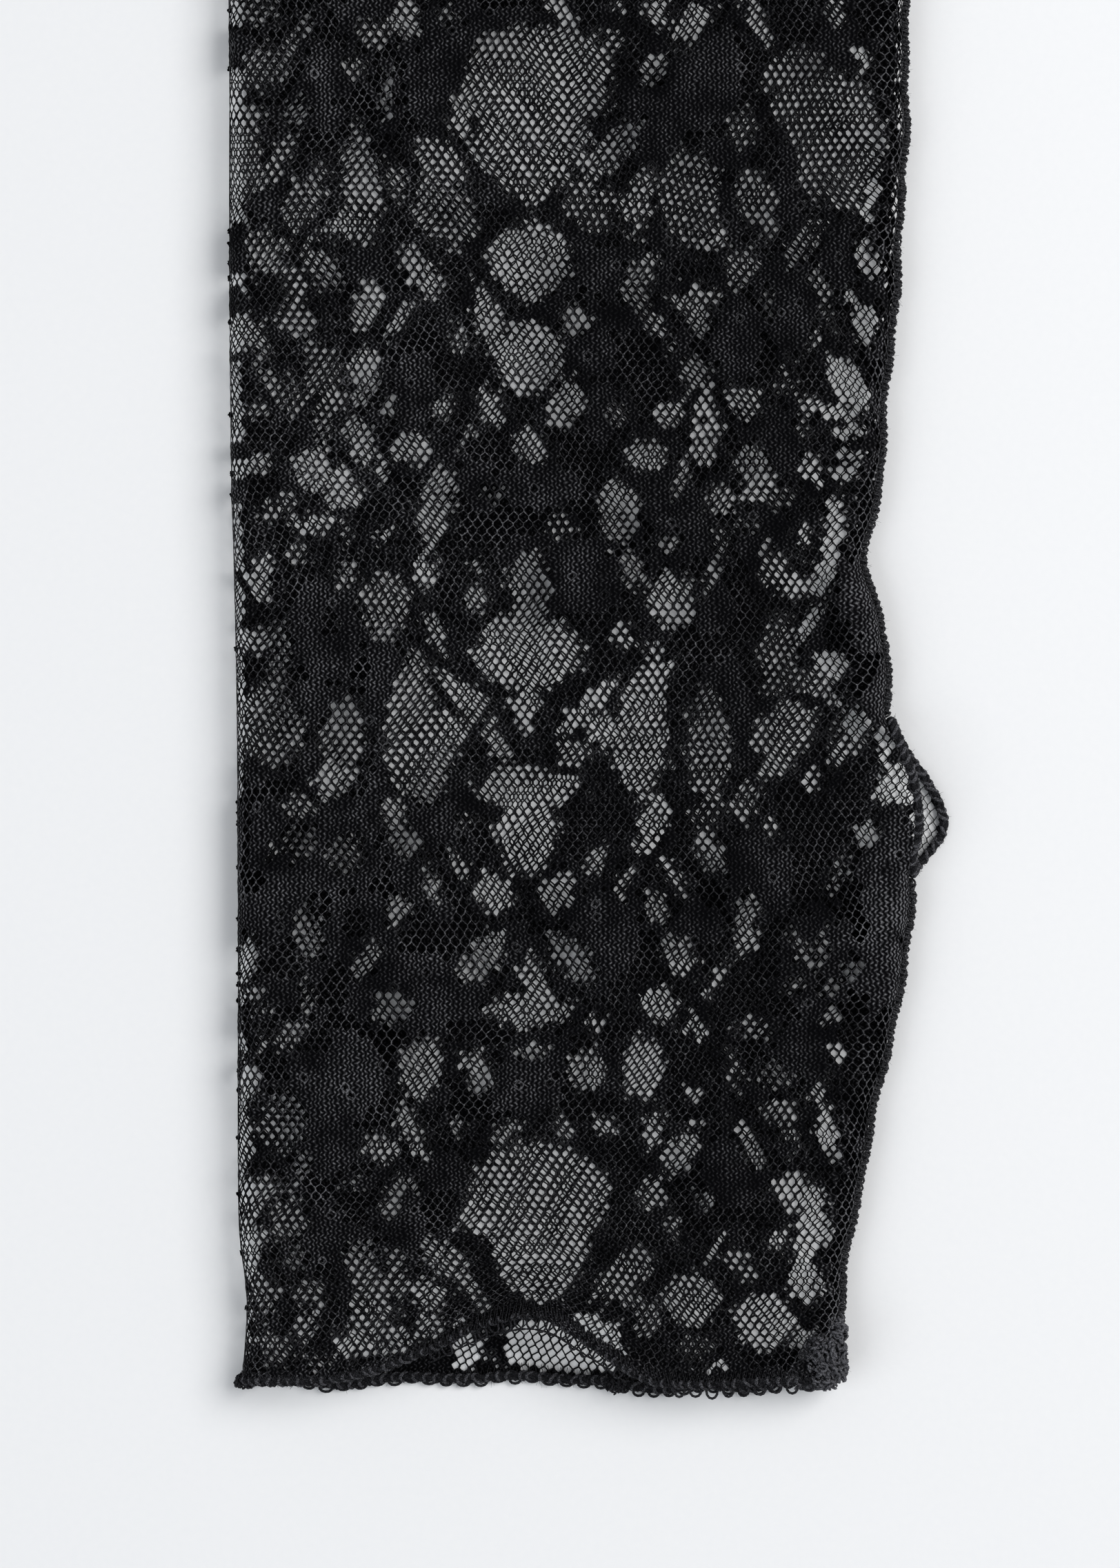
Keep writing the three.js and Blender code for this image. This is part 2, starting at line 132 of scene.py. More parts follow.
# The photograph, in its own pixels. The camera looks straight down from over its middle.
PHOTO_WIDE = 1624
PHOTO_TALL = 2274
PIXEL = 0.0944  # millimetres on the front wall
FINGER_END_ROW = 2024
ORIGIN_COLUMN = 835
AXIS_COLUMN = 768
UNSEEN_ROW = -5  # above it a copy of the lace one repeat down is shown
TURN_COLUMN = 1290  # and the chart is mirrored past it
SHEEN_COLUMNS = (500, 900)  # the painted sheen of the left part falls to LEAST_SHEEN between them
LEAST_SHEEN = 0.55
# the roll of cloth below the thumb, which gets extra painted sheen: column, row, half width and
# half height
ROLL = (1285, 1330, 45, 150)
MOUTH_ROW = 1900  # below it and near MOUTH_COLUMN the back wall shows past the front edge
MOUTH_COLUMN = 790
MOUTH_REACH = 130
ARCH_COLUMN = 770
ARCH_REACH = 120
ARCH_COLUMNS = (620, 910)  # the thin edge over the arch
THICK_COLUMN = 930  # right of it the overlock reaches further into the cloth
CAMERA_HEIGHT = 800  # over the front wall
CAMERA_X = (PHOTO_WIDE / 2 - ORIGIN_COLUMN) * PIXEL
CAMERA_Y = (FINGER_END_ROW - PHOTO_TALL / 2) * PIXEL - GLOVE_LENGTH / 2
FLOOR_HALF = 2500
FLOOR_CLEAR = 0.02  # between the paper and the yarns
LACE_CLEAR = 0.03

# The lace, in fabric millimetres
PITCH = 1.27
ROW = 0.972
KNOT_UP = 0.2  # half the length of the upright link between two slanting threads
TILT = math.radians(3)
JITTER = 0.05  # how far a knot strays
HOLE = 0.79  # share of an open cell that is hole
# and of that at each corner: top and bottom keep less thread than the ends of the upright links
CORNER_HOLE = np.array([1.06, 0.96, 0.96, 1.06, 0.96, 0.96])
LOBE = 4.5  # pixels that a window's outline waves in and out
ROUGH = 2.2  # and is ragged by
NEAR = 8  # pixels round a window in which the clothwork has pinholes
RIM = 13  # and those in which part of the net's cells are closed
RIM_CLOSED = 0.42
PIN = (0.25, 0.5)  # the sizes of the pinholes
LEAST_HOLE = 0.18  # a smaller one is closed
WIDEST_HOLE = 0.87
BARE_HOLE = 0.88  # on the back wall where the thumb opening bares it
ARM_BAND = 2.6  # how wide the closed band along the arm hem is
SEAM_BAND = (13, 4)  # the lace is stretched open more and more from the first to the second
CLOTH_INSET = 0.35
STRAND_STAND = 0.5  # of a cord's radius, from its middle to a strand's
STRAND_RADIUS = 0.58
CORD_STEP = 0.28  # between the points along a hem's cord
TURN_PITCH = 1.45  # from one turn of yarn round a hem to the next
TURN_RADIUS = 0.27
TURN_SLANT = 0.6
RIDGE = 0.11  # how far a thread's crest stands over its edges
STITCH = 0.07  # and a closed cell over its rim
STITCH_WIDE = 0.64
STITCH_TALL = 0.62
ZIGZAG = 0.9  # how far apart the turns of a column of stitches are
SEAM_CATCH = 0.75  # how far the seam draws the lace past the solid's wall
UNSEEN_FROM = 196  # the stretch of the arm that gets knots of its own
UNSEEN_TO = 356
WRIST_LINE = 128  # where the lace's hand piece meets its wrist piece
ARM_LINE = 247  # and the wrist piece meets the arm piece
FOLD_STRIP = 353  # the column that the strip along the folded edge reaches

# The windows of net in the lace where the photograph shows them, in its pixels: column, row,
# width, height; then, where they differ from PLAIN, how open the back wall is under it (0 closed,
# 0.5 smaller holes, 1 net, 1.2 stretched net), lean (columns to the right for each row up), and
# point (1 a diamond, 2 an oval).
PLAIN = (1, 0, 1.8)
WINDOWS = [
    (779, 115, 222, 160, 0.8, 0, 2.4), (770, 205, 190, 190, 0.8, 0, 1.3),
    (672, 160, 44, 90, 1, 0.2), (768, 376, 134, 126, 1, 0, 1.5), (768, 515, 114, 116, 1, 0, 1.5),
    (769, 648, 56, 62, 1, -0.4, 1.6), (767, 848, 70, 104), (767, 945, 172, 118),
    (762, 1022, 50, 88, 1, 0, 1.5), (765, 1141, 152, 56, 1, 0, 3), (763, 1205, 94, 138),
    (715, 1296, 60, 72, 1, -0.2), (811, 1293, 56, 70, 1, 0.2), (700, 1390, 62, 86, 1, 0.5),
    (829, 1390, 64, 84, 1, -0.5), (770, 1418, 44, 70, 1, 0, 1.4), (770, 1463, 138, 64, 1, 0, 1.4),
    (771, 1521, 52, 32), (777, 1735, 212, 160, 0.8, 0, 2.2), (785, 1800, 144, 180, 0.9),
    (695, 1765, 68, 66),
    # the left half of the front
    (370, 14, 70, 46, 0.4), (430, 58, 34, 90, 0.6, 0.7), (378, 100, 92, 70, 0.6, 0, 1.6),
    (355, 175, 62, 54, 0.7), (358, 220, 46, 130, 0.7), (432, 162, 40, 56, 0.8),
    (510, 98, 36, 42, 0.8), (562, 137, 26, 60), (405, 225, 34, 86, 0.7, 0.5),
    (388, 255, 48, 44, 0.7), (589, 30, 44, 72), (541, 46, 60, 44, 0.7), (652, 20, 40, 30, 0.6),
    (523, 275, 66, 170, 0.8, -0.05), (500, 334, 76, 36), (576, 265, 34, 60, 0.6, -0.3),
    (438, 298, 56, 116, 0.7, 0.4), (376, 358, 54, 84, 0.8, -0.6), (463, 380, 46, 84, 0.8, -0.5),
    (428, 420, 38, 62, 0.8), (351, 411, 30, 42), (612, 392, 54, 90, 1, -0.4),
    (640, 235, 76, 78, 0.8, -0.5), (625, 292, 58, 100, 0.7), (662, 318, 64, 100, 0.6),
    (530, 440, 52, 76, 1, 0.3), (580, 462, 28, 74, 1, 0.6), (709, 463, 52, 96, 1, -0.3),
    (665, 490, 28, 60, 0.7, -0.4), (366, 486, 48, 72, 0.9, -0.4), (430, 465, 70, 46, 0.7, -0.3),
    (468, 536, 68, 80, 0.6), (470, 612, 40, 90, 0.6), (530, 537, 54, 66), (525, 576, 30, 48),
    (522, 632, 48, 84, 1, -0.2), (482, 575, 48, 40, 0.9), (645, 588, 34, 38), (562, 590, 34, 32),
    (678, 632, 28, 42, 0.8, 0.5), (600, 654, 70, 56), (450, 680, 62, 72), (498, 713, 62, 64),
    (370, 674, 54, 38, 1, 0.8), (420, 718, 42, 24, 0.7), (632, 728, 60, 114, 1, 0.2),
    (712, 588, 44, 62, 1, -0.3), (820, 585, 64, 78, 1, 0.2, 1.6), (553, 682, 26, 42),
    (452, 759, 58, 38), (395, 746, 40, 38, 0.7), (500, 772, 24, 54, 0.6), (435, 800, 40, 46, 0.7),
    (503, 828, 38, 54, 0.9), (558, 776, 36, 32), (620, 825, 40, 68), (690, 817, 30, 26, 0.8),
    (385, 822, 38, 44), (380, 854, 40, 44), (370, 596, 48, 26, 0.7), (392, 560, 26, 60, 0.6, -0.3),
    (422, 574, 40, 70, 0.5), (558, 878, 88, 106, 0.8, 0, 1.6), (690, 868, 36, 44, 1, 0.4),
    (632, 918, 44, 56, 1, -0.3), (375, 930, 56, 44, 0.9), (405, 955, 36, 100, 0.7),
    (395, 1060, 108, 112, 0.6, 0, 1.6), (381, 1018, 60, 50, 0.8), (593, 1003, 58, 124, 0.9, 0.3),
    (607, 1085, 104, 172, 0.8), (660, 1058, 50, 60), (680, 1012, 50, 92, 1, -0.9),
    (725, 1085, 38, 54, 1, -0.4), (498, 1066, 66, 126, 0.7), (482, 1130, 58, 70, 1, 0.3),
    (431, 1171, 54, 46, 0.9), (395, 1230, 38, 30, 0.8), (576, 1194, 44, 76, 1, -0.3),
    (596, 1231, 48, 34), (621, 1283, 28, 58, 1, -0.4), (666, 1254, 32, 48, 0.8, -0.4),
    (675, 1190, 28, 38, 0.5), (500, 1235, 60, 62, 0.6), (432, 1225, 54, 60, 0.4),
    (576, 1322, 38, 50, 1, 0.2), (535, 1390, 40, 74, 0.9, 0.4), (446, 1355, 44, 78, 0.8),
    (359, 1388, 28, 70), (370, 1440, 30, 24, 0.8), (566, 1461, 66, 54, 1, 0.3),
    (445, 1450, 28, 56, 0.6), (378, 1461, 34, 24, 0.8), (420, 1505, 44, 54, 0.7, 0.4),
    (378, 1515, 26, 24, 0.9), (362, 1568, 32, 54), (612, 1550, 68, 102), (684, 1545, 54, 42),
    (700, 1565, 42, 46), (592, 1630, 36, 68, 1, -0.3), (610, 1665, 30, 50, 1, -0.5),
    (549, 1666, 58, 48, 0.9, -0.3), (667, 1632, 32, 24, 0.8), (735, 1640, 46, 32, 0.9, 0.6),
    (566, 1742, 28, 70, 1, 0.3), (600, 1716, 24, 24, 0.9), (511, 1715, 26, 20, 0.7),
    (375, 1728, 62, 50, 0.9), (357, 1652, 24, 96, 0.9), (362, 1810, 40, 90),
    (418, 1770, 58, 74, 0.7), (410, 1630, 76, 96, 0.6), (435, 1697, 24, 60, 0.7, 0.4),
    (430, 1826, 38, 38, 0.6), (386, 1876, 56, 56, 0.6), (449, 1878, 56, 56, 0.6),
    (445, 1922, 36, 58, 0.8, 0.2), (524, 1835, 54, 90, 0.7, -0.1), (538, 1898, 70, 118, 0.7),
    (512, 1951, 74, 42), (643, 1824, 68, 62, 0.8, -0.4), (682, 1868, 32, 66, 0.8, -0.6),
    (621, 1878, 54, 58, 0.9), (625, 1925, 46, 42, 0.8), (352, 1925, 26, 80),
    (395, 1950, 50, 50, 0.7), (575, 1945, 60, 50, 0.8, 0.3), (455, 1975, 60, 24, 0.5),
    (575, 1850, 40, 90, 0.6), (718, 716, 40, 24, 0.5), (812, 765, 40, 40, 0.5),
    # the right half
    (888, 215, 74, 88, 0.8, 0.7), (845, 272, 50, 60, 0.6, 0.6), (858, 302, 92, 74, 0.5),
    (926, 296, 46, 108, 0.8, 0.2), (1004, 290, 96, 158, 0.6, -0.1), (1020, 350, 80, 38),
    (926, 405, 54, 90, 0.8, 0.4), (1006, 433, 70, 34, 1, -0.2), (1015, 463, 36, 54),
    (834, 463, 40, 54), (952, 474, 34, 68, 0.8, -0.7), (818, 22, 38, 54, 1, -0.6),
    (953, 18, 42, 64), (1004, 34, 54, 76, 1, 0.5), (949, 99, 42, 54, 0.9, 0.2),
    (1098, 32, 36, 94, 1, -0.5), (1210, 22, 38, 44, 0.7), (1247, 79, 24, 36, 1.1),
    (888, 55, 26, 40, 0.6), (895, 8, 30, 26, 0.8), (1150, 103, 86, 78, 0.6, 0.5),
    (1210, 202, 138, 206, 0.5, -0.1, 2.1), (1150, 152, 56, 66, 0.6, 0.3), (1262, 275, 28, 70, 1.1),
    (1096, 292, 58, 110, 0.7, -0.25), (1076, 188, 46, 60, 0.6), (1166, 352, 46, 78, 0.7, 0.5),
    (1261, 381, 30, 56, 1.2, -0.4, 1.5), (1071, 392, 50, 74, 0.7, 0.25), (1232, 434, 34, 30),
    (1253, 466, 32, 56, 1.1, -0.2), (1190, 412, 30, 60, 0.8), (1110, 436, 24, 58, 0.5),
    (1186, 490, 24, 58, 0.6, 0.6), (1229, 555, 54, 78, 1.1, -0.4), (1012, 546, 54, 62, 1, -0.3),
    (1024, 590, 28, 48), (1026, 622, 42, 50, 1, 0.2), (1018, 656, 44, 44, 1, -0.3),
    (974, 599, 44, 40), (1078, 584, 48, 60, 0.8, -0.3), (893, 600, 34, 40, 0.5),
    (1139, 545, 20, 56, 0.5), (1165, 615, 24, 56, 0.6), (1178, 585, 32, 24),
    (1212, 598, 40, 26, 1.1), (1230, 625, 46, 28, 1.2, 0.3), (1173, 681, 36, 50, 1, -0.2),
    (1220, 684, 30, 20, 1.1), (1232, 660, 30, 16), (1095, 686, 60, 88, 1, -0.2),
    (1045, 725, 58, 48, 0.9), (1048, 775, 32, 52, 0.6), (1035, 830, 24, 56, 0.9, 0.3),
    (987, 700, 30, 50, 1, 0.2), (938, 660, 62, 56, 1, -0.3), (899, 745, 70, 102),
    (976, 788, 34, 30), (914, 825, 42, 56, 1, -0.2), (972, 872, 74, 88), (904, 923, 42, 38, 0.9),
    (950, 970, 42, 92), (928, 1070, 88, 196, 0.9), (880, 1060, 56, 66), (832, 1092, 54, 48, 0.8),
    (852, 1026, 48, 88, 1, 0.9), (1028, 1082, 72, 172, 0.7), (1128, 955, 66, 118, 0.6, 0.1),
    (1137, 1062, 98, 96, 0.8, 0.3), (1122, 1108, 40, 54, 0.9), (1174, 900, 28, 56, 1.1, 0.3),
    (1208, 768, 32, 90, 1.2, 0.15), (1198, 830, 30, 84, 1.2, 0.3), (1125, 830, 56, 58, 0.8),
    (1155, 852, 40, 38, 0.9), (1110, 788, 28, 48, 0.7), (1165, 780, 26, 44, 0.9),
    (1086, 765, 58, 24, 0.5), (1125, 722, 50, 36, 0.5), (1201, 966, 42, 50, 1.1, -0.2),
    (1180, 990, 56, 50, 0.7), (1213, 1015, 28, 22, 1.1), (1236, 1056, 38, 60, 1, -0.2),
    (1216, 1086, 28, 60, 0.8, 0.3), (1281, 1082, 22, 38, 1.1, -0.2), (1175, 1130, 30, 36),
    (1292, 1140, 50, 52, 1, 0, 3), (1253, 1210, 42, 38), (950, 1193, 42, 74),
    (933, 1230, 42, 32, 1, 0.5), (976, 1267, 24, 64, 1, -0.6), (1031, 1237, 46, 70, 0.9, -0.3),
    (1021, 1176, 48, 38, 0.5), (1080, 1166, 48, 68, 0.7, 0.3), (862, 1250, 32, 56, 1, 0.4),
    (907, 1282, 24, 54, 1, 0.4), (1121, 1203, 26, 34, 0.8), (1212, 1276, 34, 58, 0.6, 0.5),
    (952, 1319, 40, 50), (985, 1385, 48, 66, 1, -0.3), (1082, 1340, 40, 104, 1, 0.1),
    (1036, 1420, 24, 74, 1, 0.5), (1165, 1378, 32, 58, 0.7, -0.3), (1190, 1382, 24, 68, 0.7),
    (1234, 1405, 28, 38, 0.6), (1200, 1432, 34, 24, 0.7), (1151, 1431, 34, 24, 0.7),
    (1200, 1475, 34, 28, 0.8), (958, 1457, 68, 56, 1, -0.2), (864, 1481, 30, 24),
    (1009, 1484, 30, 58, 0.9, -0.3), (1007, 1584, 32, 32, 0.9), (850, 1552, 72, 68, 1, 0, 1.4),
    (930, 1547, 66, 104), (1222, 1523, 32, 40, 0.9), (1096, 1490, 54, 38, 0.6),
    (1125, 1560, 48, 50, 0.6), (1065, 1552, 30, 58, 0.6, -0.2), (1190, 1588, 22, 48, 0.7),
    (1149, 1640, 22, 48, 0.7), (878, 1634, 34, 30, 0.9), (815, 1632, 32, 36, 0.7, -0.6),
    (948, 1634, 34, 78, 1, 0.1), (990, 1667, 50, 76, 1, 0.5), (1086, 1661, 34, 84, 1, -0.45),
    (945, 1729, 42, 52, 0.8), (976, 1778, 20, 58, 1, -0.2), (1023, 1739, 32, 32, 0.9),
    (1198, 1645, 34, 66, 1.1, -0.2), (1128, 1612, 58, 44, 0.8, -0.4), (1151, 1727, 60, 56),
    (1176, 1788, 52, 110, 1, 0.2), (1132, 1792, 38, 26, 0.9), (1168, 1862, 56, 56),
    (1105, 1916, 92, 88), (1169, 1947, 34, 46, 1.2, -0.3), (1032, 1984, 56, 18, 1.2, 0, 3),
    (1001, 1883, 88, 88, 0.9, 0, 1.6), (1034, 1818, 22, 58, 0.9, 0.5),
    (1072, 1832, 32, 58, 0.8, -0.5), (906, 1850, 78, 84, 0.7, 0.5), (927, 1908, 66, 66, 0.6),
    (1010, 1952, 66, 36, 0.4),
    # slits of net at the seam's edge
    (1315, 30, 16, 100, 1.1, 0, 3), (1314, 120, 16, 92, 1.2, 0, 3), (1307, 308, 13, 48, 1.2, 0, 3),
    (1300, 520, 12, 90, 1.1, 0, 3), (1283, 725, 12, 40, 1, 0, 3), (1336, 1335, 12, 40, 1, 0.2, 3),
    # net of the front wall over closed lace of the back wall, inside the clothwork
    (480, 898, 24, 40, 0), (515, 1340, 50, 42, 0), (412, 1385, 40, 60, 0), (485, 1432, 38, 60, 0),
    (422, 1467, 34, 26, 0), (455, 1512, 50, 40, 0), (384, 1535, 44, 26, 0),
    (1262, 1560, 60, 160, 0, 0.15), (1235, 1500, 40, 120, 0),
]

# What the back wall shows past the drawn-back front edge: net round one closed motif
MOUTH_WINDOWS = [
    (644, 1960, 98, 86, 1, 0.2, 2.4),
    (822, 1955, 182, 92, 1, 0, 2.6),
]

# Patches of clothwork in the front wall, over the net of its ground: column, row, width, height
CLOTHWORK = [
    (532, 15, 95, 45), (664, 38, 115, 80), (469, 108, 72, 95), (632, 125, 90, 120),
    (477, 168, 56, 44), (395, 297, 52, 45), (524, 380, 44, 48), (345, 68, 36, 44),
    (339, 336, 20, 40), (722, 262, 40, 80), (755, 25, 110, 28), (1000, 118, 152, 142),
    (925, 145, 50, 76), (835, 372, 66, 108), (957, 200, 74, 92), (1048, 222, 62, 54),
    (748, 290, 84, 46), (1052, 315, 46, 95), (960, 365, 50, 92), (880, 395, 60, 76),
    (862, 490, 60, 112), (898, 455, 56, 60), (1068, 490, 76, 128), (950, 640, 70, 60),
    (780, 705, 132, 64), (960, 715, 120, 60), (985, 770, 84, 104), (790, 800, 142, 54),
    (872, 600, 44, 100), (800, 440, 50, 56), (476, 912, 110, 152), (555, 945, 50, 56),
    (448, 1025, 82, 84), (455, 1110, 46, 66), (548, 1015, 46, 120), (370, 1115, 42, 52),
    (548, 1145, 46, 62), (668, 1168, 62, 104), (400, 1190, 76, 70), (510, 1190, 104, 66),
    (620, 1195, 62, 60), (460, 1250, 190, 96), (400, 1335, 120, 100), (520, 1355, 110, 130),
    (590, 1265, 52, 70), (600, 1440, 210, 110), (490, 1560, 150, 130), (878, 1350, 104, 144),
    (740, 1365, 64, 64), (780, 1525, 104, 52), (1010, 1345, 78, 62), (760, 1582, 104, 84),
    (481, 540, 66, 46), (437, 582, 70, 66), (600, 568, 66, 124), (692, 700, 58, 72),
    (412, 692, 24, 40), (344, 658, 38, 24), (340, 700, 30, 42), (851, 844, 116, 92),
    (1034, 887, 70, 68), (1052, 1042, 78, 186), (1057, 100, 38, 136), (1214, 364, 50, 114),
    (1208, 70, 68, 64), (1148, 278, 42, 114), (400, 1440, 70, 60), (1140, 440, 90, 140),
    (1120, 640, 90, 110), (1110, 780, 80, 120), (1240, 860, 60, 90), (1095, 1270, 110, 150),
    (1190, 1400, 120, 160), (1180, 1520, 110, 90), (1290, 1270, 90, 200), (1280, 1400, 60, 130),
    (1285, 1010, 60, 100), (1262, 900, 56, 110), (640, 1700, 80, 60), (470, 1660, 90, 90),
    (470, 1790, 60, 90), (590, 1780, 60, 90), (900, 1560, 50, 60), (1060, 1700, 90, 110),
]

# Picot loops of the finger hem: first and last column, pitch, height, radius, droop
FRONT_LOOPS = [(985, 1175, 2.0, 1.75, 0.19, 0.2), (625, 905, 1.75, 1.95, 0.15, 0.5)]
BACK_LOOPS = [(370, 900, 2.3, 1.0, 0.2, 0.0), (905, 1190, 2.0, 1.1, 0.2, 0.0)]

# The bunched knit at the seam's corner of the finger hem, and the yarn ends at the fold's corner
# and at the middle of the back edge: column, row, height of the middle, size, strands, radius
TUFTS = [
    (1196, 1977, 4.9, (4.0, 4.6, 3.6), 560, 0.2), (1180, 2003, 3.4, (3.8, 1.8, 2.8), 190, 0.19),
    (1216, 1935, 4.2, (1.2, 2.8, 2.8), 110, 0.18), (355, 2006, 2.2, (1.5, 1.1, 1.8), 100, 0.16),
    (343, 2013, 1.2, (0.7, 0.6, 0.9), 30, 0.14), (893, 2016, 1.2, (1.8, 0.9, 1.0), 70, 0.16),
]

# Rows between which the strip along the folded edge is open net
FOLD_NET = [(-900, 40), (98, 328), (393, 420), (456, 512), (526, 642), (663, 698), (726, 831)]
FOLD_NET += [(840, 1160), (1362, 1458), (1495, 1532), (1560, 1698), (1706, 1950)]

# Dark knots on the folded edge and on the seam, by their rows
FOLD_KNOT_ROWS = [10, 96, 333, 351, 378, 400, 465, 600, 685, 715, 940, 1164, 1180, 1195, 1259]
FOLD_KNOT_ROWS += [1333, 1378, 1413, 1429, 1453, 1554, 1583, 1652, 1735, 1820, 1900]
SEAM_KNOT_ROWS = [30, 95, 180, 272, 420, 500, 614, 700, 762, 850, 940, 1010, 1440, 1530, 1743, 1870]


def column_of(rows, key, column, at):
    """Reads a column of a table on a smooth curve through its rows."""
    keys = np.array([row[key] for row in rows], float)
    values = np.array([row[column] for row in rows], float)
    before = np.r_[0, np.arange(len(rows) - 1)]
    after = np.r_[np.arange(1, len(rows)), len(rows) - 1]
    slopes = (values[after] - values[before]) / (keys[after] - keys[before])
    at = np.clip(at, keys[0], keys[-1])
    i = np.clip(np.searchsorted(keys, at, side="right") - 1, 0, len(rows) - 2)
    span = keys[i + 1] - keys[i]
    t = (at - keys[i]) / span
    rest = 1 - t
    return (
        values[i] * (1 + 2 * t) * rest**2
        + values[i + 1] * (3 - 2 * t) * t**2
        + slopes[i] * span * t * rest**2
        - slopes[i + 1] * span * t**2 * rest
    )


def lerp(a, b, t):
    return a + (b - a) * t


def smooth(low, high, x):
    t = np.clip((x - low) / (high - low), 0, 1)
    return t * t * (3 - 2 * t)


def fold_edge(v):
    return -ARM_END_WIDTH / 2 + FOLD_LEAN * column_of(SECTIONS, 0, 1, v / GLOVE_LENGTH)


def cloth_side(v):
    width = lerp(FINGER_END_WIDTH, ARM_END_WIDTH, column_of(SECTIONS, 0, 2, v / GLOVE_LENGTH))
    return fold_edge(v) + width - 2 * SEAM_RADIUS - GAP


def in_thumb(v):
    return np.clip((v - THUMB_FROM) / THUMB_SLIT, 0, 1)


def lip_open(v):
    return column_of(LIPS, 0, 3, in_thumb(v))


def lip_edge(v, front):
    front_stand = column_of(LIPS, 0, 1, in_thumb(v))
    back_stand = column_of(LIPS, 0, 2, in_thumb(v))
    return cloth_side(v) + THUMB_FLARE * np.where(front, front_stand, back_stand)


def uncut_side(v):
    return lip_edge(v, False) + EDGE_ROUND * lip_open(v)


def seam_wander(v):
    """How far the seam strays to the side, out of the thumb opening."""
    stray = 0.16 * np.sin(v / 1.7) + 0.2 * np.sin(v / 3.9 + 1) + 0.2 * np.sin(v / 9 + 2)
    return stray * (1 - np.clip(lip_open(v), 0, 1))


def mouth_fade(v):
    return np.clip(1 - v / MOUTH_DEPTH, 0, 1) ** 2


def hem_draw(across, frontness):
    back = column_of(MOUTH, 0, 2, across)
    front = column_of(MOUTH, 0, 1, across)
    return HEM_RADIUS + MOUTH_RISE * lerp(back, front, frontness)


def fold_relief(across, v):
    relief = 0
    for along, middle, length, width, rise, lean in FOLDS:
        run = (v / GLOVE_LENGTH - along) / length
        off = (across - middle) / width - lean * run
        relief = relief + rise * np.exp(-2 * run**2 - 2 * off**2)
    return FOLD_RELIEF * relief


def ripple(x, v):
    """Small waves of the front wall, where the cloth isn't pulled flat."""
    waves = np.sin(x / 5.3 + v / 17) + np.sin(v / 7.1 - x / 11) + np.sin(x / 8.7 - v / 9.3 + 2)
    return 0.09 * waves


def front_height(across, v):
    belly = np.sin(np.pi * np.clip(across, 0, 1))
    arch = MOUTH_LIFT * column_of(MOUTH, 0, 3, across) * mouth_fade(v)
    return BODY_HEIGHT + CROWN * belly + arch + fold_relief(across, v) * belly


def y_at(v):
    return v - GLOVE_LENGTH / 2


def section_point(across, out, up, v, inset):
    """A point of the glove's section at v, moved into the cloth by inset."""
    left = fold_edge(v) + EDGE_ROUND
    right = uncut_side(v) - EDGE_ROUND
    frontness = (1 + up) / 2
    x = lerp(left, right, across) + out * (EDGE_ROUND - inset)
    z = inset + frontness * (front_height(across, v) - 2 * inset)
    return np.stack([x, y_at(v), z], axis=-1)


QUARTER = math.pi / 2 * math.sqrt((EDGE_ROUND**2 + (BODY_HEIGHT / 2) ** 2) / 2)


def flat_run(v):
    return uncut_side(v) - fold_edge(v) - 2 * EDGE_ROUND


def half_round(v):
    """How far it is from the folded edge round one wall to the seam."""
    return 2 * QUARTER + flat_run(v)


def fabric_point(q, w, lift):
    """Where a point of the fabric lies, lift over the cloth's middle."""
    distance = np.abs(q)
    run = flat_run(w)
    across = np.clip((distance - QUARTER) / run, 0, 1)
    left_turn = np.clip(distance / QUARTER, 0, 1) * math.pi / 2
    right_turn = np.clip((distance - QUARTER - run) / QUARTER, 0, 1) * math.pi / 2
    on_right = distance > QUARTER + run
    out = np.where(on_right, np.sin(right_turn), -np.cos(left_turn))
    flat = (across > 0) & ~on_right
    out = np.where(flat, 0, out)
    up = np.where(on_right, np.cos(right_turn), np.sin(left_turn)) * np.where(q >= 0, 1, -1)
    frontness = (1 + up) / 2
    v = w + hem_draw(across, frontness) * mouth_fade(w)
    point = section_point(across, out, up, v, CLOTH_INSET - lift)
    wave = ripple(point[..., 0], v) * frontness * np.sin(np.pi * across)
    point[..., 2] += wave
    front = q >= 0
    catch = SEAM_CATCH + seam_wander(v)
    edge = lip_edge(v, front) + catch
    drawn = catch * (1 - np.clip(lip_open(v), 0, 1))
    point[..., 0] += drawn * np.where(on_right, np.sin(right_turn), 0)
    past = point[..., 0] - edge
    point[..., 0] = np.minimum(point[..., 0], edge)
    point[..., 2] = np.maximum(point[..., 2], LACE_CLEAR)
    return point, v, across, past


def photo_place(point, v):
    """The column and row of the photograph where a point shows, or would show in a copy of it
    further up the arm."""
    depth = CAMERA_HEIGHT / (CAMERA_HEIGHT + BODY_HEIGHT - point[..., 2]) / PIXEL
    column = PHOTO_WIDE / 2 + (point[..., 0] - CAMERA_X) * depth
    row = PHOTO_TALL / 2 - (point[..., 1] - CAMERA_Y) * depth
    axis = (fold_edge(v) + LACE_AXIS) / PIXEL + ORIGIN_COLUMN
    unseen = row < UNSEEN_ROW
    column = np.where(unseen, column - axis + AXIS_COLUMN, column)
    column = np.where(unseen & (column > TURN_COLUMN), 2 * TURN_COLUMN - column, column)
    for _ in range(2):
        row = np.where(row < UNSEEN_ROW, row + LACE_REPEAT / PIXEL, row)
    return column, row


def column_at(points):
    return points[:, 0] / PIXEL + ORIGIN_COLUMN


def v_at(rows):
    return (FINGER_END_ROW - np.array(rows)) * PIXEL


def with_plain(window):
    """A window's openness of the back, lean and point."""
    return *window[4:], *PLAIN[len(window) - 4 :]


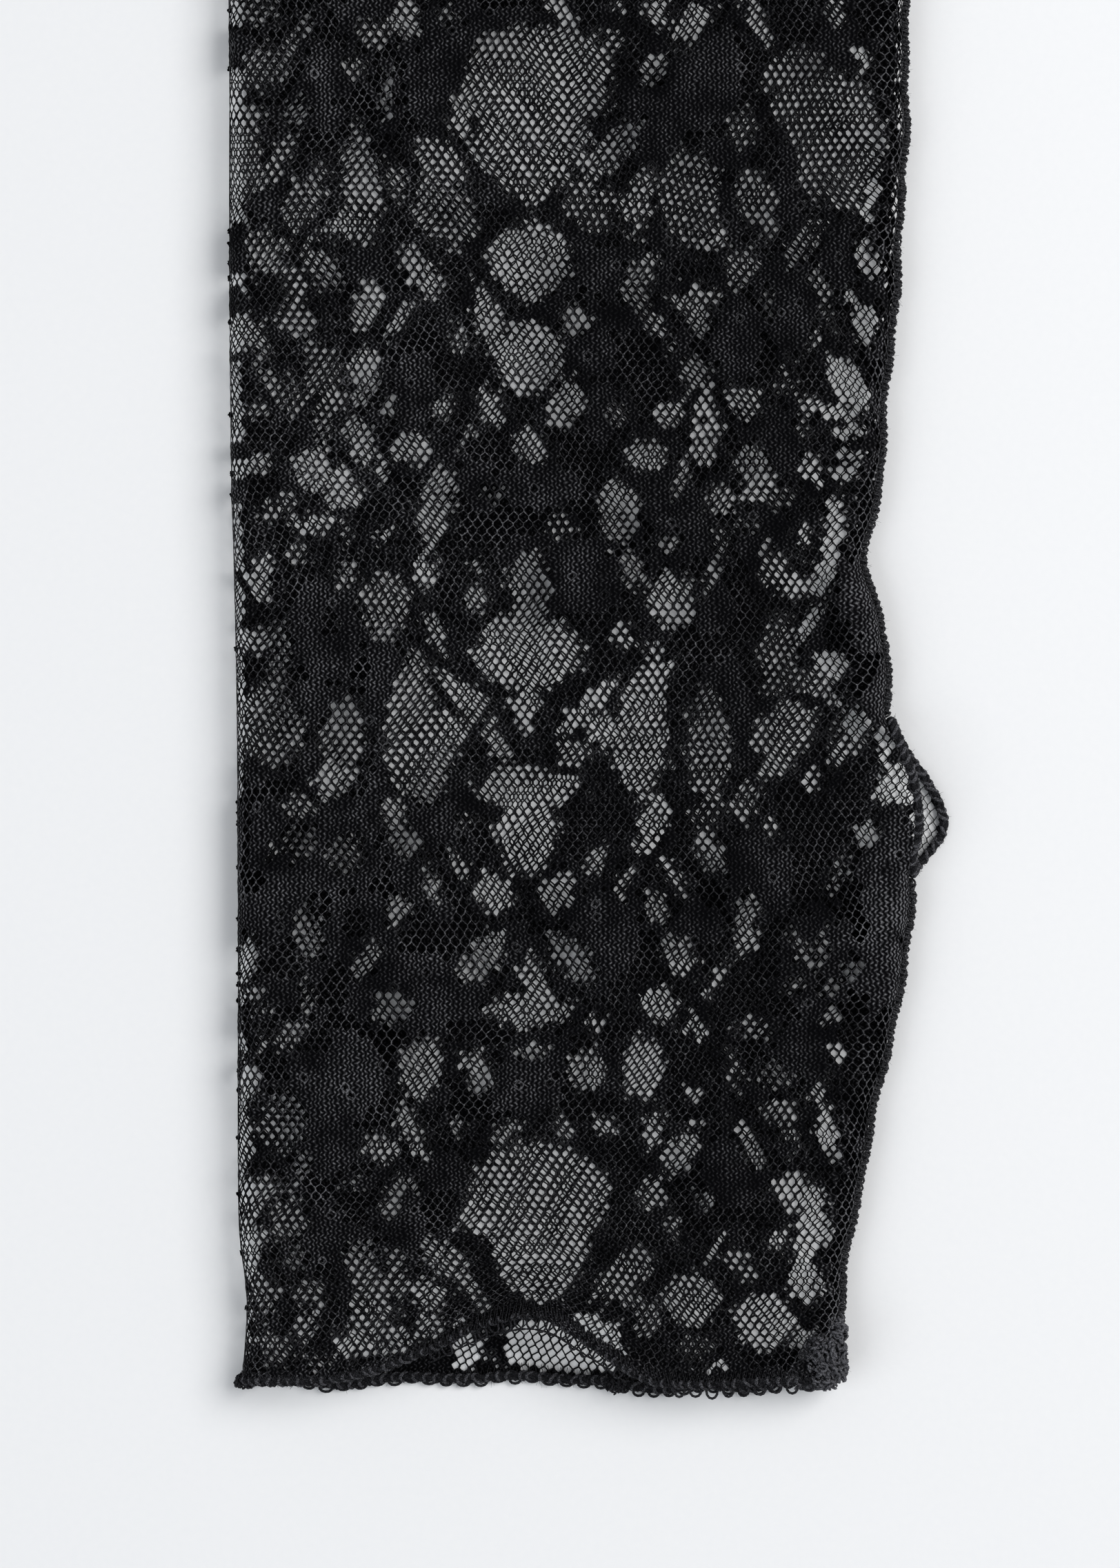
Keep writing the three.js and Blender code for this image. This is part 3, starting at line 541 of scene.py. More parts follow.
def inside(column, row, window):
    """How many pixels inside a window a place is, below zero outside it."""
    x, y, wide, tall = window[:4]
    _, lean, point = with_plain(window)
    off_y = row - y
    off_x = column - x + lean * off_y
    reach = (np.abs(off_x * 2 / wide) ** point + np.abs(off_y * 2 / tall) ** point) ** (1 / point)
    return (1 - reach) * min(wide, tall) / 2


def openness(column, row):
    """How far inside the nearest window a place is, and how open the back is there."""
    best = np.full(column.shape, -99.0)
    back = np.zeros(column.shape)
    for window in WINDOWS:
        depth = inside(column, row, window)
        nearer = depth > best
        best = np.where(nearer, depth, best)
        back = np.where(nearer, with_plain(window)[0], back)
    lobes = np.sin(column / 8.3 + 2 * np.sin(row / 29))
    lobes = lobes * np.sin(row / 9.7 + 2 * np.sin(column / 23))
    return best + LOBE * lobes, back


def deepest(column, row, shapes):
    """How far inside the nearest of some shapes a place is."""
    best = np.full(column.shape, -99.0)
    for shape in shapes:
        best = np.maximum(best, inside(column, row, shape))
    return best


def mesh_object(name, points, faces, material, uv=None, painted_light=None, crest=None):
    """A mesh from points in millimetres and lists of faces, each list with one face size."""
    mesh = bpy.data.meshes.new(name)
    points = np.asarray(points, np.float32) * MM
    mesh.vertices.add(len(points))
    mesh.vertices.foreach_set("co", points.ravel())
    loops = np.concatenate([f.ravel() for f in faces]).astype(np.int32)
    totals = np.concatenate([np.full(len(f), f.shape[1]) for f in faces]).astype(np.int32)
    starts = np.r_[0, np.cumsum(totals)[:-1]].astype(np.int32)
    mesh.loops.add(len(loops))
    mesh.loops.foreach_set("vertex_index", loops)
    mesh.polygons.add(len(totals))
    mesh.polygons.foreach_set("loop_start", starts)
    mesh.polygons.foreach_set("loop_total", totals)
    mesh.polygons.foreach_set("use_smooth", np.ones(len(totals), bool))
    if uv is not None:
        layer = mesh.uv_layers.new(name="fabric")
        layer.data.foreach_set("uv", np.asarray(uv, np.float32)[loops].ravel())
    # the first attribute is the painted sheen and shade of each point, which scales the yarn
    # materials' painted highlights
    for label, domain, values in [("painted_light", "POINT", painted_light), ("crest", "CORNER", crest)]:
        if values is not None:
            layer = mesh.attributes.new(label, "FLOAT", domain)
            layer.data.foreach_set("value", np.asarray(values, np.float32))
    mesh.update(calc_edges=True)
    mesh.validate()
    mesh.materials.append(material)
    piece = bpy.data.objects.new(name, mesh)
    bpy.context.scene.collection.objects.link(piece)
    return piece


def dress(piece, slot, *nodes):
    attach(piece, "root")
    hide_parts(*nodes)
    return piece


# ---- materials ----


def node_material(name):
    material = bpy.data.materials.new(name)
    material.use_nodes = True
    tree = material.node_tree
    return material, tree, tree.nodes["Principled BSDF"]


def add_node(tree, kind, **values):
    node = tree.nodes.new(kind)
    for key, value in values.items():
        if key in node.inputs:
            node.inputs[key].default_value = value
        else:
            setattr(node, key, value)
    return node


def math_node(tree, operation, a, b=None):
    node = tree.nodes.new("ShaderNodeMath")
    node.operation = operation
    for socket, value in zip(node.inputs, (a, b)):
        if value is None:
            continue
        if isinstance(value, (int, float)):
            socket.default_value = value
        else:
            tree.links.new(value, socket)
    return node.outputs[0]


def mixed_colour(tree, share, dark, light):
    mix = tree.nodes.new("ShaderNodeMix")
    mix.data_type = "RGBA"
    mix.inputs[6].default_value = (*dark, 1)
    mix.inputs[7].default_value = (*light, 1)
    tree.links.new(share, mix.inputs[0])
    return mix.outputs[2]


def object_noise(tree, scale, detail=2.0):
    place = tree.nodes.new("ShaderNodeTexCoord")
    noise = add_node(tree, "ShaderNodeTexNoise", Scale=scale, Detail=detail)
    tree.links.new(place.outputs["Object"], noise.inputs["Vector"])
    return noise.outputs["Fac"]


def attribute(tree, name):
    return add_node(tree, "ShaderNodeAttribute", attribute_name=name).outputs["Fac"]


def bumped(tree, shader, height, strength, distance):
    bump = add_node(tree, "ShaderNodeBump", Strength=strength, Distance=distance)
    tree.links.new(height, bump.inputs["Height"])
    tree.links.new(bump.outputs["Normal"], shader.inputs["Normal"])


def calculator(tree, *operations):
    """A short function for each kind of Math node."""
    return [functools.partial(math_node, tree, operation) for operation in operations]


def speck_shader(tree, shader, share, dark, light, shine):
    """Near-black fibres that only shine where share is high. The shine is a painted highlight:
    share lightens the base colour and raises the specular level.
    """
    share = math_node(tree, "MINIMUM", share, 1.0)
    tree.links.new(mixed_colour(tree, share, dark, light), shader.inputs["Base Color"])
    gloss = math_node(tree, "MULTIPLY_ADD", share, shine)
    gloss.node.inputs[2].default_value = 0.01
    tree.links.new(gloss, shader.inputs["Specular IOR Level"])
    shader.inputs["Roughness"].default_value = 0.7


def lace_material():
    """Knitted yarn: columns of small stitches in the clothwork, with painted highlights on the
    stitches' loops and along the crests of the net's threads."""
    material, tree, shader = node_material("lace_yarn")
    add, times, wave, power = calculator(tree, "ADD", "MULTIPLY", "PINGPONG", "POWER")
    least, floor = calculator(tree, "MAXIMUM", "FLOOR")
    uv = add_node(tree, "ShaderNodeUVMap", uv_map="fabric")
    split = tree.nodes.new("ShaderNodeSeparateXYZ")
    tree.links.new(uv.outputs["UV"], split.inputs[0])
    bend = times(object_noise(tree, 520), 1.1)
    q, w = add(split.outputs["X"], bend), split.outputs["Y"]
    zigzag = wave(times(w, 1 / ZIGZAG), 0.5)
    column = add(times(q, 1 / STITCH_WIDE), zigzag)
    stitches = wave(column, 0.5)
    course = add(times(w, 1 / STITCH_TALL), times(floor(column), 0.5))
    course = wave(course, 0.5)
    fibres = object_noise(tree, 4200)
    patches = least(times(add(object_noise(tree, 210, 3.0), -0.27), 4.2), 0.25)
    height = add(add(stitches, times(fibres, 0.7)), times(course, 0.8))
    bumped(tree, shader, height, 0.7, 0.0002)
    loop = times(stitches, add(course, 0.35))
    # painted highlights on the loops of the stitches
    knit = times(power(times(times(loop, 3.1), fibres), 3.0), 4.1)
    # a painted highlight along each thread's crest
    thread = times(power(attribute(tree, "crest"), 3.5), 0.8)
    # both painted highlights, scaled by the point's painted sheen
    share = times(times(add(knit, thread), patches), attribute(tree, "painted_light"))
    speck_shader(tree, shader, share, (0.002, 0.002, 0.0025), (0.13, 0.13, 0.14), 0.4)
    return material


def yarn_material(name, light):
    """Textured overlock yarn: a lumpy fibre bundle with painted highlights as light specks."""
    material, tree, shader = node_material(name)
    add, times, power = calculator(tree, "ADD", "MULTIPLY", "POWER")
    fibres = object_noise(tree, 6500)
    height = add(object_noise(tree, 2600, 4.0), times(fibres, 0.6))
    bumped(tree, shader, height, 0.8, 0.0003)
    # light specks of painted highlight, scaled by each point's painted sheen or shade
    share = times(times(power(fibres, 4.0), 5.0), add(attribute(tree, "painted_light"), 0.4))
    speck_shader(tree, shader, share, (0.0035, 0.0035, 0.0042), light, 0.5)
    return material


def paper_material():
    material, tree, shader = node_material("white_paper")
    grain = object_noise(tree, 900, 4.0)
    bumped(tree, shader, grain, 0.12, 0.0002)
    colour = mixed_colour(tree, grain, (0.86, 0.865, 0.875), (0.89, 0.89, 0.895))
    tree.links.new(colour, shader.inputs["Base Color"])
    shader.inputs["Roughness"].default_value = 0.9
    return material


# ---- the lace ----


def lattice():
    """The knots of the whole panel's net and the six that stand round each cell."""
    reach = QUARTER * 2 + ARM_END_WIDTH + 12
    across = int(2 * reach / PITCH) + 24
    rows = int((GLOVE_LENGTH + 40) / ROW)
    i, j = np.meshgrid(np.arange(across), np.arange(rows))
    x = PITCH * (i + 0.5 * (j % 2)) - reach - 8
    y = ROW * j - 20.0
    knots_x = np.stack([x - PITCH / 2, x])
    knots_y = np.stack([y + KNOT_UP, y + ROW - KNOT_UP])
    q = knots_x * math.cos(TILT) - knots_y * math.sin(TILT)
    w = knots_x * math.sin(TILT) + knots_y * math.cos(TILT)
    q, w = (
        q + 1.3 * np.sin(w / 14 + 1) * np.cos(q / 19) + 0.7 * np.sin(w / 5.7 + q / 9),
        w + 1.1 * np.sin(q / 16) * np.cos(w / 23 + 2) + 0.5 * np.sin(q / 6.1 - w / 8),
    )
    q = q + rng.normal(0, JITTER, q.shape)
    w = w + rng.normal(0, JITTER, w.shape)
    index = np.arange(2 * across * rows).reshape(2, rows, across)
    left, top = index
    cell_i, cell_j = i[1:, 1:-1], j[1:, 1:-1]
    odd = cell_j % 2
    low_left = top[cell_j - 1, cell_i - 1 + odd]
    low_right = top[cell_j - 1, cell_i + odd]
    bottom = left[cell_j - 1, cell_i + odd]
    upper = top[cell_j, cell_i], left[cell_j, cell_i]
    corners = np.stack([*upper, low_left, bottom, low_right, left[cell_j, cell_i + 1]], axis=-1)
    return q.ravel(), w.ravel(), corners.reshape(-1, 6)


def cell_holes(column, row, across, bare, w, front, from_seam):
    """The share of each cell that is hole. The front wall is net outside its clothwork, and the
    back wall is closed outside the windows, and net where the thumb opening bares it."""
    count = len(column)
    depth, back = openness(column, row)
    pulled = smooth(*SEAM_BAND, from_seam)
    depth = depth + 3 * pulled
    rough = rng.normal(0, ROUGH, count)
    chance = rng.random(count)
    size = HOLE * np.clip(rng.normal(1, 0.04, count), 0.9, 1.08)
    pin = rng.uniform(*PIN, count)
    in_window = depth + rough > 0
    near_window = ~in_window & (depth > -NEAR)
    patches = [(*patch, 1, 0, 2) for patch in CLOTHWORK]
    patch = ~in_window & (deepest(column, row, patches) + rough > 0)
    rim = ~in_window & (depth > -RIM) & (chance < RIM_CLOSED)
    stretched = np.minimum(size * np.clip(back + 0.1 * pulled, 1, 1.3), WIDEST_HOLE)
    front_hole = np.where(in_window, stretched, size * 1.04)
    pinned = np.where(near_window, chance < 0.5, chance < 0.03)
    front_hole = np.where(patch | rim, pin * 1.2 * pinned * ~rim, front_hole)
    opened = smooth(-9, 7, depth + 1.6 * rough)
    bareness = np.clip(back + 0.3 * pulled, 0, 1)
    back_hole = stretched * (0.45 + 0.55 * bareness) * np.where(back > 0, opened, 0)
    back_hole = np.where(near_window & (chance < 0.15), pin, back_hole)
    # the back wall past the front wall's drawn-back edge
    mouth = deepest(column, row, MOUTH_WINDOWS)
    past_front = (row > MOUTH_ROW) & (np.abs(column - MOUTH_COLUMN) < MOUTH_REACH)
    past_hole = np.where(mouth + rough > 0, size, pin * (chance < 0.3))
    back_hole = np.where(past_front, past_hole, back_hole)
    hole = np.where(front, front_hole, back_hole)
    # the strip along the folded edge
    strip = column + rough < FOLD_STRIP
    net = np.zeros(count, bool)
    for first, last in FOLD_NET:
        net |= (row + rough > first) & (row + rough < last)
    hole = np.where(strip, np.where(net, size, pin * (chance < 0.1)), hole)
    # closed bands along the hems
    arch = np.exp(-(((across - 0.5) / 0.2) ** 2))
    band = np.where(front, 0.7 + 2.2 * arch + 1.2 * smooth(0.66, 0.8, across), 1.1)
    near_hem = w < band + rng.normal(0, 0.25, count)
    near_arm = w > GLOVE_LENGTH - ARM_BAND
    near_seam = from_seam < 0.3
    hole = np.where(near_hem | near_arm | near_seam, pin * 0.8 * (chance < 0.12), hole)
    hole = np.where(bare, np.where(from_seam > 0.4, BARE_HOLE, 0.5), hole)
    return np.where(hole < LEAST_HOLE, 0, hole)


def painted_sheen(column, row, front, from_seam):
    """How much sheen is painted into the yarn's colour: most on the left, along the seam and on the
    roll of cloth below the thumb opening, less on the backlit threads in the windows and just
    outside them, and little on the back wall, as painted shade under the front wall."""
    left = lerp(1, LEAST_SHEEN, smooth(*SHEEN_COLUMNS, column))
    seam = 1.5 * (1 - smooth(1.5, 6.5, from_seam))
    x, y, wide, tall = ROLL
    roll = np.exp(-(((column - x) / wide) ** 2) - ((row - y) / tall) ** 2)
    depth, _ = openness(column, row)
    # threads in the windows get less painted sheen, as they are backlit, and so does the yarn just
    # outside the windows
    backlit = 1 - 0.6 * smooth(-4, 4, depth)
    rim = 1 - 0.62 * np.exp(-(((depth + 9) / 8) ** 2))
    # the back wall gets painted shade, as it lies under the front wall
    return np.where(front, (left + seam + 1.9 * roll) * backlit * rim, 0.2)


def net_piece(name, material, knots, cells, middles, hole):
    """Rings of quads round the open cells and fans of triangles over the closed ones. knots holds
    the knots' q, w and painted sheen, and middles the q and w of the cells' middles."""
    used, compact = np.unique(cells, return_inverse=True)
    q, w, knot_sheen = (values[used] for values in knots)
    cells = compact.reshape(-1, 6)
    is_open = hole > 0
    ring, closed = cells[is_open], cells[~is_open]
    ring_q, ring_w = (
        lerp(middle[is_open][:, None], knot[ring], hole[is_open][:, None] * CORNER_HOLE).ravel()
        for middle, knot in zip(middles, (q, w))
    )
    fan_q, fan_w = (middle[~is_open] for middle in middles)
    groups = (q, w, RIDGE), (ring_q, ring_w, 0), (fan_q, fan_w, RIDGE + STITCH)
    points = np.concatenate([fabric_point(*group)[0] for group in groups])
    rim = len(q) + np.arange(ring.size).reshape(-1, 6)
    fan = len(q) + ring.size + np.arange(len(closed))
    after = np.roll(np.arange(6), -1)
    quads = np.stack([ring, ring[:, after], rim[:, after], rim], axis=-1)
    tris = np.stack([closed, closed[:, after], np.repeat(fan[:, None], 6, 1)], axis=-1)
    faces = [quads.reshape(-1, 4), tris.reshape(-1, 3)]
    uv = np.stack([np.concatenate([group[k] for group in groups]) for k in (0, 1)], 1)
    # painted sheen of each point: a knot's own, and the mean of its knots for a hole's rim and a
    # fan's middle
    shine = [knot_sheen, np.repeat(knot_sheen[ring].mean(1), 6), knot_sheen[closed].mean(1)]
    crest = np.r_[np.tile([1, 1, 0, 0], ring.size), np.zeros(3 * closed.size)]
    piece = mesh_object(name, points, faces, material, uv, np.concatenate(shine), crest)
    return dress(piece, "lace_yarn", "lace_sleeve")


def lace_pieces(material):
    q, w, corners = lattice()
    middle_q, middle_w = q[corners].mean(1), w[corners].mean(1)
    w = np.clip(w, 0, GLOVE_LENGTH - HEM_RADIUS)
    end = half_round(w)
    q = np.clip(q, -end, end)
    middle, v, across, past = fabric_point(middle_q, middle_w, 0)
    kept = (middle_w > -0.3) & (middle_w < GLOVE_LENGTH - 1.2) & (past < 0.1)
    kept &= np.abs(middle_q) < half_round(middle_w)
    values = corners, middle_q, middle_w, middle, v, across, past
    corners, middle_q, middle_w, middle, v, across, past = (value[kept] for value in values)
    column, row = photo_place(middle, v)
    front = middle_q >= 0
    from_seam = half_round(middle_w) - np.abs(middle_q)
    from_seam = np.minimum(from_seam, -past)
    bare = ~front & (middle[:, 0] > lip_edge(v, True) + 0.4) & (lip_open(v) > 0.05)
    hole = cell_holes(column, row, across, bare, middle_w, front, from_seam)
    points, knot_v, *_ = fabric_point(q, w, 0)
    knots = q, w, painted_sheen(*photo_place(points, knot_v), q >= 0, end - np.abs(q))
    lengths = {
        "lace_hand": middle_w < WRIST_LINE,
        "lace_wrist": (middle_w >= WRIST_LINE) & (middle_w < ARM_LINE),
        "lace_arm": middle_w >= ARM_LINE,
    }
    pieces = {}
    for name, part in lengths.items():
        middles = middle_q[part], middle_w[part]
        pieces[name] = net_piece(name, material, knots, corners[part], middles, hole[part])
    return pieces


# ---- cords, loops and fuzz ----


def unit(vectors):
    return vectors / np.maximum(np.linalg.norm(vectors, axis=-1, keepdims=True), 1e-9)


def evenly(points, step, closed):
    """The same path with points an even distance apart."""
    path = np.concatenate([points, points[:1]]) if closed else points
    run = np.r_[0, np.cumsum(np.linalg.norm(np.diff(path, axis=0), axis=1))]
    count = max(int(run[-1] / step), 4)
    at = np.linspace(0, run[-1], count + 1)
    if closed:
        at = at[:-1]
    return np.stack([np.interp(at, run, path[:, k]) for k in range(3)], 1)


def heading(paths, axis, closed):
    """The direction along paths at each point."""
    if closed:
        return unit(np.roll(paths, -1, axis) - np.roll(paths, 1, axis))
    return unit(np.gradient(paths, axis=axis))


def carried_frame(path, closed):
    """A tangent and two square directions at each point, carried along without twist."""
    tangent = heading(path, 0, closed)
    normals = np.zeros_like(path)
    start = np.cross(tangent[0], [0.0, 0.0, 1.0])
    if np.linalg.norm(start) < 1e-3:
        start = np.array([1.0, 0.0, 0.0])
    normal = start / np.linalg.norm(start)
    for i, direction in enumerate(tangent):
        normal = normal - direction * float(normal @ direction)
        normal = normal / np.linalg.norm(normal)
        normals[i] = normal
    return tangent, normals, np.cross(tangent, normals)


def skin(middles, one, other, radius, sides, closed, flip=False):
    """Rings of points about the middles of many tubes, each turned from the direction one to
    other, the quads between them and the caps of open tubes."""
    count, steps, _ = middles.shape
    turn = 2 * math.pi * np.arange(sides) / sides
    ring = one[:, :, None] * np.cos(turn)[:, None] + other[:, :, None] * np.sin(turn)[:, None]
    points = (middles[:, :, None] + radius[..., None, None] * ring).reshape(-1, 3)
    index = np.arange(count * steps * sides).reshape(count, steps, sides)
    ahead = np.roll(index, -1, 1) if closed else index[:, 1:]
    here = index if closed else index[:, :-1]
    quads = np.stack([here, np.roll(here, -1, 2), np.roll(ahead, -1, 2), ahead], axis=-1)
    quads = quads.reshape(-1, 4)
    caps = [] if closed else [index[:, 0, ::-1], index[:, -1]]
    if flip:
        quads, caps = quads[:, [0, 3, 2, 1]], [cap[:, ::-1] for cap in caps]
    return points, [quads, *caps]


def tubes(paths, radius, sides, planes, closed=False):
    """Round tubes along many paths with the same number of points. planes holds one direction
    for each path that no part of it runs along."""
    tangent = heading(paths, 1, closed)
    side = unit(np.cross(tangent, planes[:, None, :]))
    radius = np.broadcast_to(radius, paths.shape[:2])
    return skin(paths, side, np.cross(tangent, side), radius, sides, closed)


def gather(parts):
    """Joins (points, faces) parts into one."""
    points, faces, base = [], {}, 0
    for part_points, part_faces in parts:
        points.append(part_points)
        for group in part_faces:
            if len(group):
                faces.setdefault(group.shape[1], []).append(group + base)
        base += len(part_points)
    return np.concatenate(points), [np.concatenate(groups) for groups in faces.values()]


def twisted(path, closed, radius, strands, twist_length, sides=6, swell=0.06):
    """A cord of strands wound round each other along a path."""
    tangent, normal, binormal = carried_frame(path, closed)
    run = np.r_[0, np.cumsum(np.linalg.norm(np.diff(path, axis=0), axis=1))]
    total = run[-1] + (np.linalg.norm(path[0] - path[-1]) if closed else 0)
    lag, turns = 0, total / twist_length
    if closed:
        # what the carried direction has turned by at the end is spread over the whole ring
        back = unit(normal[-1] - tangent[0] * float(normal[-1] @ tangent[0]))
        lag = math.atan2(float(back @ binormal[0]), float(back @ normal[0]))
        turns = round(turns)
    strand = np.arange(strands)[:, None] / strands
    angle = (2 * math.pi * (turns * run / total + strand) - lag * run / total)[..., None]
    out = normal * np.cos(angle) + binormal * np.sin(angle)
    swelling = radius * (1 + swell * rng.normal(0, 1, (strands, len(path))))
    centre = path + out * (STRAND_STAND * swelling)[..., None]
    side = unit(np.cross(heading(centre, 1, closed), out))
    return skin(centre, out, side, STRAND_RADIUS * swelling, sides, closed, flip=True)


def yarn_turns(path, closed, pitch, reach, radius, slant):
    """Separate slanting turns of yarn wound round a cord, reach from its middle."""
    middle = evenly(path, pitch, closed)
    tangent, normal, binormal = carried_frame(middle, closed)
    count, steps = len(middle), 10
    turn = 2 * math.pi * np.arange(steps)[None] / steps
    wide = np.broadcast_to(reach, count) * rng.uniform(0.88, 1.12, count)
    ring = normal[:, None] * np.cos(turn)[..., None] + binormal[:, None] * np.sin(turn)[..., None]
    shift = slant * rng.uniform(0.7, 1.3, (count, 1))
    shift = shift * np.sin(turn + rng.normal(0, 0.4, (count, 1)))
    shift = shift + rng.normal(0, 0.12 * pitch, (count, 1))
    paths = middle[:, None] + ring * wide[:, None, None] + tangent[:, None] * shift[..., None]
    return tubes(paths, radius, 5, tangent, closed=True)


def loops(bases, along, outward, width, height, radius, droop):
    """Small picot loops that stand out from an edge at each base point."""
    steps = 9
    turn = math.pi * np.arange(steps) / (steps - 1)
    shape_along = -np.cos(turn) * (0.62 + 0.38 * np.sin(turn))
    shape_out = np.sin(turn)
    wide = (width / 2)[:, None] * shape_along
    far = height[:, None] * shape_out
    paths = (
        bases[:, None]
        + along[:, None] * wide[..., None]
        + outward[:, None] * far[..., None]
    )
    paths[..., 2] -= droop * shape_out
    return tubes(paths, radius, 5, unit(np.cross(along, outward)))


def fuzz(path, count, lengths, radius, curl, stand=0.0, lean=0.0):
    """Short stray fibres that start at the distance stand from a cord's middle and curl away."""
    steps = 4
    pick = rng.integers(0, len(path), count)
    directions = unit(rng.normal(0, 1, (count, 3)) + np.array([lean, 0, 0]))
    bases = path[pick] + directions * stand
    length = rng.uniform(*lengths, count)
    t = np.linspace(0, 1, steps)
    sideways = unit(rng.normal(0, 1, (count, 3)))
    paths = (
        bases[:, None]
        + directions[:, None] * (length[:, None] * t)[..., None]
        + sideways[:, None] * (curl * length[:, None] * t**2)[..., None]
    )
    planes = unit(np.cross(directions, sideways) + 0.01)
    taper = radius * (1.1 - 0.8 * t)[None, :]
    return tubes(paths, taper, 3, planes)


def yarn_piece(name, slot, node, material, parts, shines, glow=0.0, glow_from=(30, 46), uv=None):
    """Joins parts into a piece. shines is one value of painted sheen or shade for each part, and
    glow, more painted sheen, is added towards the seam's side, between the two places of glow_from."""
    painted_light = np.repeat(np.broadcast_to(shines, len(parts)), [len(points) for points, _ in parts])
    points, faces = gather(parts)
    points[:, 2] = np.maximum(points[:, 2], FLOOR_CLEAR)
    painted_light = painted_light + glow * smooth(*glow_from, points[:, 0])
    uv = None if uv is None else np.broadcast_to(uv, (len(points), 2))
    return dress(mesh_object(name, points, faces, material, uv, painted_light), slot, node)


def once_round(count):
    """Places across, out and up on a section's ring: back wall, seam side, front wall, fold."""
    flat = np.linspace(0, 1, count)
    turn = np.linspace(0, math.pi, 16)[1:-1]
    across = np.concatenate([flat, np.ones(14), flat[::-1], np.zeros(14)])
    out = np.concatenate([0 * flat, np.sin(turn), 0 * flat, -np.sin(turn)])
    up = np.concatenate([-1 + 0 * flat, -np.cos(turn), 1 + 0 * flat, np.cos(turn)])
    return across, out, up


def row_of_loops(line, low, high, pitch, height, radius, droop):
    """Picot loops along the stretch of a hem between two columns of the photograph."""
    place = column_at(line)
    part = line[(place > low) & (place < high)]
    part = evenly(part[np.argsort(part[:, 0])], pitch, False)
    along = heading(part, 0, False)
    outward = np.array([0.0, -1.0, 0.0])
    out = unit(outward - along * (along @ outward)[:, None])
    width = pitch * rng.uniform(0.95, 1.15, len(part))
    tall = height * rng.uniform(0.8, 1.15, len(part))
    return loops(part, along, out, width, tall, radius, droop)


def overlock(line, depth, shift, rise):
    """The thread that zigzags between the finger hem's cord and the cloth."""
    edge = evenly(line[np.argsort(line[:, 0])], 0.45, False)
    place = column_at(edge)
    arch = np.exp(-(((place - ARCH_COLUMN) / MOUTH_REACH) ** 2))
    reach = depth * (0.45 + 0.8 * arch + 0.5 * (place > THICK_COLUMN))
    side = np.where(np.arange(len(edge)) % 2 == 0, -0.2, 1)
    edge = edge + np.stack([0 * reach + shift, side * reach, 0 * reach + rise], 1)
    return tubes(edge[None], 0.17, 5, np.array([[0.0, 0.0, 1.0]]))


def finger_hem(material):
    across, out, up = once_round(160)
    v = hem_draw(across, (1 + up) / 2)
    path = evenly(section_point(across, out, up, v, HEM_RADIUS), CORD_STEP, True)
    middle_z = BODY_HEIGHT / 2
    stray = 0.28 * np.sin(path[:, 0] / 2.3) + 0.24 * np.sin(path[:, 0] / 5.7 + 2)
    path[:, 1] += stray * smooth(3.5, 1.2, path[:, 2])

    def thickness(line):
        """The cord is thinner where the front wall is drawn back."""
        arch = np.exp(-(((column_at(line) - ARCH_COLUMN) / ARCH_REACH) ** 2))
        return HEM_RADIUS * (1 - 0.4 * arch * (line[:, 2] > middle_z))

    parts = [twisted(path, True, 0.9 * thickness(path), 3, 4.6, sides=7, swell=0.12)]
    reach = 0.75 * thickness(evenly(path, TURN_PITCH, True))
    parts.append(yarn_turns(path, True, TURN_PITCH, reach, TURN_RADIUS, TURN_SLANT))
    front = path[path[:, 2] > middle_z + 2.6]
    back = path[path[:, 2] < 1.2]
    parts += [row_of_loops(front, *row) for row in FRONT_LOOPS]
    parts += [row_of_loops(back, *row) for row in BACK_LOOPS]
    # the thin edge that runs over the tips of the arch's loops
    column = column_at(front)
    arch = front[(column > ARCH_COLUMNS[0]) & (column < ARCH_COLUMNS[1])]
    arch = arch[np.argsort(arch[:, 0])] + np.array([0.0, -1.95, -0.5])
    parts.append(twisted(evenly(arch, 0.4, False), False, 0.17, 2, 2.0, sides=5))
    parts.append(overlock(front, 2.0, 0.0, 0.45))
    parts.append(overlock(front, 1.3, 0.45, 0.45))
    parts.append(overlock(back, 1.4, 0.0, -0.2))
    parts.append(fuzz(path, 2600, (0.2, 0.55), 0.035, 0.9, stand=0.8 * HEM_RADIUS))
    # painted shade on the cord, as in the creases between the turns, painted highlights on the
    # turns, a little painted shade on the rest, and more painted sheen towards the seam's side
    shines = [-0.2, 0.5] + [-0.05] * (len(parts) - 2)
    names = ("finger_hem_yarn", "hem_yarn", "finger_hem")
    return yarn_piece(*names, material, parts, shines, glow=0.3)


def thumb_path():
    share = np.linspace(0, 1, 60)

    def lip(along, front, up):
        v = THUMB_FROM + along * THUMB_SLIT
        flat = np.sqrt(1 - (1 - np.clip(lip_open(v), 0, 1)) ** 2)
        middle = BODY_HEIGHT / 2
        x = lip_edge(v, front) + GAP + HEM_RADIUS
        z = middle + up * flat * (middle - HEM_RADIUS)
        return np.stack([x, y_at(v), z], 1)

    return np.concatenate([lip(share[:-1], False, -1), lip(share[::-1][:-1], True, 1)])


def thumb_hem(material):
    path = evenly(thumb_path(), CORD_STEP, True)
    parts = [
        twisted(path, True, 0.88 * HEM_RADIUS, 3, 4.2, sides=7, swell=0.12),
        yarn_turns(path, True, TURN_PITCH, 0.72 * HEM_RADIUS, TURN_RADIUS, TURN_SLANT),
        fuzz(path, 700, (0.2, 0.5), 0.035, 0.9, stand=0.8 * HEM_RADIUS),
    ]
    # painted shade on the cord, painted highlights on the turns and the fuzz
    return yarn_piece("thumb_hem_yarn", "hem_yarn", "thumb_hem", material, parts, [-0.15, 0.9, 0.4])


